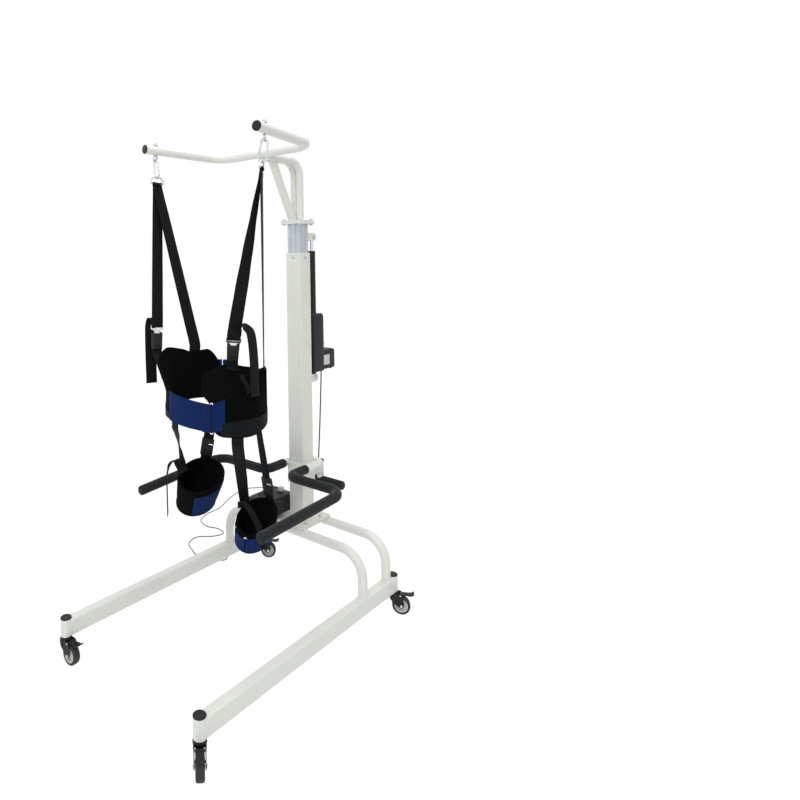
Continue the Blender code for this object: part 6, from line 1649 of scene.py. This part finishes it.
def panel_grid(name):
    """Columns of points on a panel's middle surface."""
    first, last = PANELS[name]["span"]
    metres = (last - first) * math.radians(1) * PANEL_SCALE
    shares = [v / PANEL_HEIGHT for v in edged(PANEL_HEIGHT, GRID_STEP)]
    return [[panel_point(name, first + (last - first) * d / metres, share) for share in shares]
            for d in edged(metres, GRID_STEP)]


def bound(grid, half, width=0.012, loop=False):
    """Binding tape folded over the edges of a sheet."""
    rows, cols = len(grid), len(grid[0])
    deep = len(RIM_STEPS)
    if loop:
        trips = [[(i, 0) for i in range(rows)], [(i, cols - 1) for i in range(rows)]]
    else:
        trips = [[(i, 0) for i in range(2, rows - 2)] + [(rows - 1, j) for j in range(2, cols - 2)]
                 + [(i, cols - 1) for i in range(rows - 3, 1, -1)] + [(0, j) for j in range(cols - 3, 1, -1)]]
    section = rounded_oblong((-0.0008, -half - 0.0007), (width, half + 0.0007), half * 0.8, 5)
    made = []
    for trip in trips:
        path, sides = [], []
        for i, j in trip:
            a = i if loop else min(max(i, deep), rows - 1 - deep)
            b = min(max(j, deep), cols - 1 - deep)
            path.append(grid[i][j])
            sides.append((grid[a][b] - grid[i][j]).normalized())
        made.append(sweep(path, sides, section, True))
    return together(*made)


def build_panel(name):
    """Padded belt panel with its binding, two rows of stitches and the band on its hem."""
    grid, seed = panel_grid(name), PANELS[name]["seed"]
    first, last = PANELS[name]["span"]
    sheet = soft_sheet(grid, BELT_THICK / 2, 0.0035, seed, False, (0.0022, 0.010, 0.03))
    pad = piece(f"{name}_padded_panel", sheet, "neoprene", "harness", f"{name}_belt_panel")
    piece(f"{name}_panel_binding", bound(grid, BELT_THICK / 2), "neoprene", "harness")
    outs = grid_normals(grid, False)
    stitched(f"{name}_panel_stitching", [[grid[i][j] + outs[i][j] * 0.0071 for i in range(5, len(grid) - 5)]
                                         for j in (7, len(grid[0]) - 8)])
    low, high = [[panel_point(name, first + (last - first) * k / 60, share, BELT_THICK / 2 + 0.0032)
                  for k in range(3, 58)] for share in (0.02, 0.26)]
    columns = [[a.lerp(b, s) for s in (0, 0.02, 0.06, 0.2, 0.4, 0.6, 0.8, 0.94, 0.98, 1)]
               for a, b in zip(low, high)]
    piece(f"{name}_hem_band", soft_sheet(columns, 0.0016, 0.0010, seed), "web", "harness")


TAPE_SHARES = (0, 0.006, 0.02, 0.05, 0.12, 0.25, 0.4, 0.55, 0.7, 0.82, 0.9, 0.96, 0.985, 0.996, 1)
TAPE_THICK = 0.0030
FOLD_THICK = 0.0026          # of the tape's end, folded back and sewn down


def tape_strip(where, ends, low, high, lift, seed, thick=TAPE_THICK):
    """Loop tape over a surface: where(t, share, lift) gives its points."""
    first, last = ends
    steps = max(6, round(abs(last - first) / 2.5))
    grid = []
    for u in [k / steps for k in range(steps + 1)]:
        bottom, top = low[0] + (low[1] - low[0]) * u, high[0] + (high[1] - high[0]) * u
        grid.append([where(first + (last - first) * u, bottom + (top - bottom) * s, lift + thick / 2)
                     for s in TAPE_SHARES])
    return soft_sheet(grid, thick / 2, 0.0022, seed)


def tape_bead(points):
    """Round fold of loop tape about the wire of a ring."""
    return round_ended(points, 0.0040, 0.002, (1, 0, 0), 16)


def wire_ring(corners):
    """Rectangular ring of round wire through four corners, its bends rounded."""
    c = [Vector(p) for p in corners]
    start = (c[0] + c[3]) / 2
    path = filleted([start, *c, start], (RING_BEND,) * 4, 6)
    side = (c[1] - c[0]).cross(c[2] - c[1]).normalized()
    return tube(path[:-1], 0.0022, 14, side, True)


def build_closing(name):
    """Blue strap that closes the belt: two ends folded round a wire ring."""
    data = CLOSINGS[name]
    first, last = data["strip"]
    back, back_end = data["return"]
    (low_0, low), (high_0, high) = data["low"], data["high"]
    lift, seed = 0.0012, data["seed"]
    outer = lift + TAPE_THICK
    middle = lift + TAPE_THICK / 2
    parts = [tape_strip(on_belt, (first, last), (low_0, low), (high_0, high), lift, seed),
             tape_strip(on_belt, (back, back_end), (low, low_0), (high, high_0), lift, seed + 2),
             tape_strip(on_belt, (last - 7.5, last + 0.3), (low, low), (high, high), outer, seed, FOLD_THICK)]
    parts += [tape_bead([on_belt(t, z, middle) for z in (low + 0.001, (low + high) / 2, high - 0.001)])
              for t in (last, back)]
    strap = piece(f"{name}_loop_tape", together(*parts), "blue", "harness", f"{name}_closing_strap")
    corners = ((last, low - 0.004), (back, low - 0.004), (back, high + 0.004), (last, high + 0.004))
    piece(f"{name}_wire_ring", wire_ring([on_belt(t, z, middle) for t, z in corners]), "chrome", "harness")
    rows = [[on_belt(first + (last - 8 - first) * k / 40, z, outer + 0.0002) for k in range(41)]
            for z in (low + 0.005, high - 0.005)]
    rows += [[on_belt(t, low + (high - low) * k / 12, off) for k in range(13)]
             for t, off in ((last - 7, outer + TAPE_THICK), (back + 8, outer))]
    stitched(f"{name}_tape_stitching", rows, "blue_thread")


def cuff_point(data, angle, share, out=0.0):
    """Point on the middle surface of a cuff, share of the way down, moved out."""
    axis = Vector(data["axis"]).normalized()
    first = Vector((1, 0, 0))
    first = (first - axis * first.dot(axis)).normalized()
    second = axis.cross(first)
    a = math.radians(angle)
    narrow = 1 + (data["taper"] - 1) * share
    one, two = data["half"]
    inset = CUFF_THICK / 2 - out
    centre = Vector(data["centre"]) + axis * (data["height"] * (share - 0.5)) + Vector(data["drift"]) * share
    sag = max(0.0, -math.sin(a)) ** 1.5 * max(0.0, share) ** 1.6 * data["sag"]
    return centre + first * ((one * narrow - inset) * math.cos(a)) \
        + second * ((two * narrow - inset) * math.sin(a) + sag)


def build_cuff(name):
    """Thigh cuff: padded loop closed by blue tape through a wire ring, hung by two straps."""
    data = CUFFS[name]
    seed, steps = data["seed"], edged(data["height"], GRID_STEP)
    grid = [[cuff_point(data, 360 - 360 * k / 72, v / data["height"]) for v in steps] for k in range(72)]
    sheet = soft_sheet(grid, CUFF_THICK / 2, 0.0030, seed, True, (0.0012, 0.012, 0.02))
    cuff = piece(f"{name}_padded_cuff", sheet, "neoprene", "harness", f"{name}_thigh_cuff")
    piece(f"{name}_cuff_binding", bound(grid, CUFF_THICK / 2, 0.010, True), "neoprene", "harness")

    def where(t, share, lift):
        return cuff_point(data, t, share, CUFF_THICK / 2 + lift)

    first, last = data["strap"]
    back, back_end = data["return"]
    fold = (first, first + math.copysign(9, last - first))
    lift, low, high = 0.0014, (0.90, 0.90), (0.14, 0.14)
    outer = lift + TAPE_THICK
    middle = lift + TAPE_THICK / 2
    tape = [tape_strip(where, (first, last), low, high, lift, seed),
            tape_strip(where, (back, back_end), low, high, lift, seed + 1),
            tape_strip(where, fold, low, high, outer, seed, FOLD_THICK)]
    tape += [tape_bead([where(t, s, middle) for s in (0.88, 0.5, 0.16)]) for t in (first, back)]
    strap = piece(f"{name}_cuff_tape", together(*tape), "blue", "harness")
    corners = ((first, 0.95), (back, 0.95), (back, 0.09), (first, 0.09))
    piece(f"{name}_cuff_ring", wire_ring([where(t, s, middle) for t, s in corners]), "chrome", "harness")
    lines = [[where(first + (last - first) * k / 40, s, outer + 0.0003) for k in range(41)]
             for s in (0.19, 0.85)]
    stitched(f"{name}_cuff_stitching", lines, "blue_thread")
    build_cuff_straps(name, data)


def build_cuff_straps(name, data):
    """Webbing from the belt's hem to a cuff, in front and at the rear."""
    axis = Vector(data["axis"]).normalized()
    for label, (panel, t, angle) in zip(("front", "rear"), data["hangs"]):
        seat, wide = hem_seat(panel, t)
        knee = seat - UP * SEAM_RUN
        lip = cuff_point(data, angle, -0.02)
        across = facing(axis.cross(lip - Vector(data["centre"])).normalized(), wide)
        rows = [(seat + UP * 0.010, wide), (knee, wide)]
        rows += between((knee, wide), (lip, across), (0.25, 0.5, 0.75))
        rows += [(cuff_point(data, angle, share), across) for share in (-0.02, 0.12, 0.25)]
        piece(f"{name}_cuff_{label}_webbing", webbing_run(rows, WEB_WIDTH - 0.004), "web", "harness")
    build_adjuster(name, knee, lip, across)


def build_adjuster(name, knee, lip, across):
    """Cam buckle low on a cuff's rear strap: moulded frame, lever and steel bar."""
    place = Matrix.Translation(lip) @ upright_axes(across, (knee - lip).normalized())
    parts = [rounded_box((-0.026, -0.0066, 0.010), (0.026, 0.0066, 0.088), 0.0035, 4),
             rounded_box((-0.021, -0.0100, 0.020), (0.021, -0.0050, 0.058), 0.0022, 3),
             rounded_box((-0.021, 0.0050, 0.020), (0.021, 0.0100, 0.058), 0.0022, 3)]
    parts += [rounded_box((-0.018, y - 0.0022, z), (0.018, y + 0.0022, z + 0.0014), 0.0005, 2)
              for z in (0.024, 0.029, 0.034) for y in (0.0086, -0.0086)]
    piece(f"{name}_cuff_adjuster", shifted(together(*parts), place), "abs", "harness")
    pins = [bar((-0.025, y, 0.066), (-0.006, y, 0.066), 0.0026, 0.0005, 16) for y in (-0.0070, 0.0070)]
    piece(f"{name}_adjuster_bar", shifted(together(*pins), place), "chrome", "harness")


STRAP_ENDS = {
    "right": (0.040, 0.0022, (
        ((-0.179, -0.552, 0.640), (0.5, 0.8, 0.2)), ((-0.197, -0.560, 0.673), (0.4, 0.9, 0.1)),
        ((-0.215, -0.566, 0.686), (0.1, 1.0, 0.0)), ((-0.236, -0.573, 0.673), (-0.3, 1.0, 0.0)),
        ((-0.249, -0.578, 0.640), (-0.6, 0.8, 0.0)), ((-0.257, -0.577, 0.600), (-0.7, 0.7, 0.0)),
        ((-0.266, -0.569, 0.531), (-0.7, 0.7, 0.0)), ((-0.266, -0.567, 0.447), (-0.7, 0.7, 0.0)))),
    "left": (0.024, 0.0024, (
        ((0.030, -0.437, 0.520), (0.5, 0.8, 0.1)), ((0.060, -0.470, 0.560), (0.6, 0.75, 0.1)),
        ((0.098, -0.497, 0.574), (0.6, 0.75, 0.0)), ((0.140, -0.505, 0.560), (0.5, 0.85, 0.0)),
        ((0.172, -0.502, 0.520), (0.4, 0.9, 0.0)), ((0.188, -0.494, 0.470), (0.4, 0.9, 0.0)),
        ((0.192, -0.486, 0.425), (0.4, 0.9, 0.0)))),
}


def build_strap_ends():
    """Loose ends of webbing over the rims of the cuffs."""
    for name, (width, thick, rows) in STRAP_ENDS.items():
        run = webbing_run([(p, Vector(a).normalized()) for p, a in rows], width, thick, 0.005)
        piece(f"{name}_cuff_strap_end", run, "web", "harness")


def build_harness():
    """Hangers, buckles, panels and cuffs of both sides, then what joins the sides."""
    for name, _ in SIDES:
        build_hanger(name)
        build_buckle(name)
        build_panel(name)
        build_cuff(name)
    for name in CLOSINGS:
        build_closing(name)
    build_strap_ends()


# Leads, each along the route of its solid
ACT_LEAD = (
    (-0.0300, 0.2050, 0.9897), (-0.0300, 0.2050, 0.9500), (-0.0320, 0.1980, 0.8000),
    (-0.0400, 0.1920, 0.6000), (-0.0500, 0.1880, 0.4700), (-0.0640, 0.1720, 0.4050),
    (-0.0860, 0.1350, 0.3740), (-0.1000, 0.0880, 0.3700), (-0.1020, 0.0400, 0.3880),
    (-0.1020, 0.0150, 0.4080), (-0.1020, -0.0097, 0.4100),
)
CHARGING_LEAD = (
    (-0.1003, -0.0400, 0.4583), (-0.1250, -0.0400, 0.4583), (-0.1530, -0.0400, 0.4600),
    (-0.1740, -0.0400, 0.4480), (-0.1800, -0.0430, 0.4100), (-0.1850, -0.0520, 0.3600),
    (-0.2050, -0.0640, 0.3340), (-0.2450, -0.0680, 0.3230), (-0.2850, -0.0680, 0.3210),
    (-0.3350, -0.0680, 0.2960), (-0.3640, -0.0680, 0.2350),
    (-0.3750, -0.0640, 0.1800), (-0.3960, -0.0560, 0.1500), (-0.4100, -0.0500, 0.0900),
    (-0.4500, -0.0400, 0.0200), (-0.5300, -0.0500, 0.0030), (-0.6150, -0.0790, 0.0030),
    (-0.6700, -0.0600, 0.0030), (-0.7400, -0.0200, 0.0030), (-0.7650, 0.0600, 0.0030),
    (-0.7050, 0.1350, 0.0030), (-0.6950, 0.1950, 0.0030), (-0.7550, 0.2150, 0.0030),
    (-0.8250, 0.1950, 0.0030), (-0.9050, 0.2250, 0.0030), (-0.9450, 0.3100, 0.0030),
    (-0.9550, 0.4300, 0.0030), (-1.0050, 0.5500, 0.0030), (-1.0400, 0.6700, 0.0030),
    (-1.0500, 0.7700, 0.0030), (-0.9900, 0.8450, 0.0050), (-0.9503, 0.8600, 0.0080),
)


def lead(name, points, radius, node, **facts):
    """Round lead along a smooth route."""
    route = smooth(points, 0.008)
    for p in route:
        p.z = max(p.z, radius + GAP)
    made = piece(name, tube(route, radius, 14, (0, 0.3, 1)), "sheath", "base", node)
    path = [p + HOME for p in route]
    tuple(path[0])
    distances(path)[-1]


def relief(start, way, radius, length):
    """Tapered strain relief along a lead, with six ribs."""
    profile, ribs = [(0, 0), (radius + 0.0022, 0)], 6
    for k in range(ribs):
        wide = radius + 0.0022 - 0.0015 * k / ribs
        z = length * (k + 0.15) / ribs
        profile += [(wide, z), (wide, z + length * 0.09), (wide - 0.0007, z + length * 0.095),
                    (wide - 0.0007, z + length * 0.135)]
    profile += [(radius + 0.0004, length), (0, length)]
    return turned(profile, start, way, 28)


def build_leads():
    """Charging lead with its strain relief and plug, and the actuator's lead."""
    start, end = Vector(CHARGING_LEAD[0]), Vector(CHARGING_LEAD[-1])
    out = (end - Vector(CHARGING_LEAD[-2])).normalized()
    sleeve = piece("charging_strain_relief", relief(start, (-1, 0, 0), 0.0025, 0.024), "sheath", "base")
    tip = end + out * GAP
    body = turned([(0, 0), (0.0034, 0), (0.0040, 0.0100), (0.0070, 0.0140), (0.0075, 0.0150),
                   (0.0075, 0.0265), (0.0070, 0.0280), (0.0055, 0.0280), (0.0055, 0.0392), (0.0048, 0.0400),
                   (0.0030, 0.0400), (0.0030, 0.0370), (0, 0.0370)], tip, out, 36)
    rings = [turned([(0.0070, z), (0.0078, z + 0.0004), (0.0078, z + 0.0010), (0.0070, z + 0.0014)], tip,
                    out, 36) for z in (0.0165, 0.0195, 0.0225)]
    plug = piece("charging_plug_body", together(body, *rings), "abs", "base", "charging_plug")
    lead("charging_lead", CHARGING_LEAD, 0.0025, "charging_cable", far_end="connector", stiffness="limp",
         lay="loose", with_pieces=[plug, sleeve])
    lead("actuator_lead", ACT_LEAD, 0.0030, "actuator_cable", far_end="object", stiffness="medium",
         lay="hanging")


LIT_POINT = Vector((0, 0, 0.9))
LAMPS = (                # (name, place, width, power)
    ("key", (2.2, -3.6, 4.2), 3.0, 112.0), ("fill", (-4.2, -1.6, 3.0), 3.5, 34.0),
    ("top", (0.3, 0.6, 5.0), 3.5, 70.0),
)
SKY_DIM = 0.46           # light of the surroundings on the trainer; the camera sees them white
GLOW = 1.10              # of the floor
GLOW_SHARE = 0.90        # of the floor's colour that the camera sees as glow


def seen_white(tree, dim):
    """Value that is 1 for camera, glossy and transmission rays, and dim for the rest."""
    path = put(tree, "ShaderNodeLightPath").outputs
    seen = joined(tree, joined(tree, path["Is Camera Ray"], path["Is Glossy Ray"], "MAXIMUM"),
                  path["Is Transmission Ray"], "MAXIMUM")
    return put(tree, "ShaderNodeMapRange", {"Value": seen, "To Min": dim, "To Max": 1.0}).outputs["Result"]


def make_stage():
    """Pale floor that keeps a faint shadow, white surroundings and three soft lamps."""
    world = bpy.data.worlds.new("white_studio")
    world.use_nodes = True
    tree = world.node_tree
    back = tree.nodes["Background"]
    back.inputs["Color"].default_value = (1, 1, 1, 1)
    tree.links.new(seen_white(tree, SKY_DIM), back.inputs["Strength"])
    bpy.context.scene.world = world

    bm = bmesh.new()
    bmesh.ops.create_grid(bm, x_segments=8, y_segments=8, size=20)
    mesh = bpy.data.meshes.new("studio_floor")
    bm.to_mesh(mesh)
    bm.free()
    floor = linked("studio_floor", mesh)
    made = bpy.data.materials.new("white_floor")
    made.use_nodes = True
    tree = made.node_tree
    tree.nodes.remove(tree.nodes["Principled BSDF"])
    paint = put(tree, "ShaderNodeBsdfDiffuse", {"Color": linear("f4f4f4")})
    glow = put(tree, "ShaderNodeEmission", {"Color": (1, 1, 1, 1), "Strength": GLOW})
    share = put(tree, "ShaderNodeMapRange", {"Value": seen_white(tree, 0.0), "To Max": GLOW_SHARE})
    mix = put(tree, "ShaderNodeMixShader", {0: share.outputs["Result"], 1: paint.outputs[0],
                                            2: glow.outputs[0]})
    tree.links.new(mix.outputs[0], tree.nodes["Material Output"].inputs["Surface"])
    mesh.materials.append(made)

    for name, at, size, power in LAMPS:
        light = bpy.data.lights.new(name, "AREA")
        light.size = size
        light.energy = power
        lamp = linked(name, light)
        lamp.location = at
        lamp.rotation_euler = (LIT_POINT - Vector(at)).to_track_quat("-Z", "Y").to_euler()
    bpy.context.scene.view_settings.view_transform = "Standard"


KEPT = {"mast_guide_bush": "nylon"}


def dress_kept():
    """CAD nodes whose shape is right get the finish of the real piece."""
    for node, finish in KEPT.items():
        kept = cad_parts[node]
        kept.data.materials.clear()
        kept.data.materials.append(FINISH[finish][0])


place_camera()
noise.seed_set(WELD_SEED)
build_leads()
build_legs()
build_arch_frame()
build_mast()
build_column()
build_gooseneck()
build_spreader()
build_actuator()
build_handlebars()
build_control_box()
build_casters()
build_harness()
dress_kept()
make_stage()
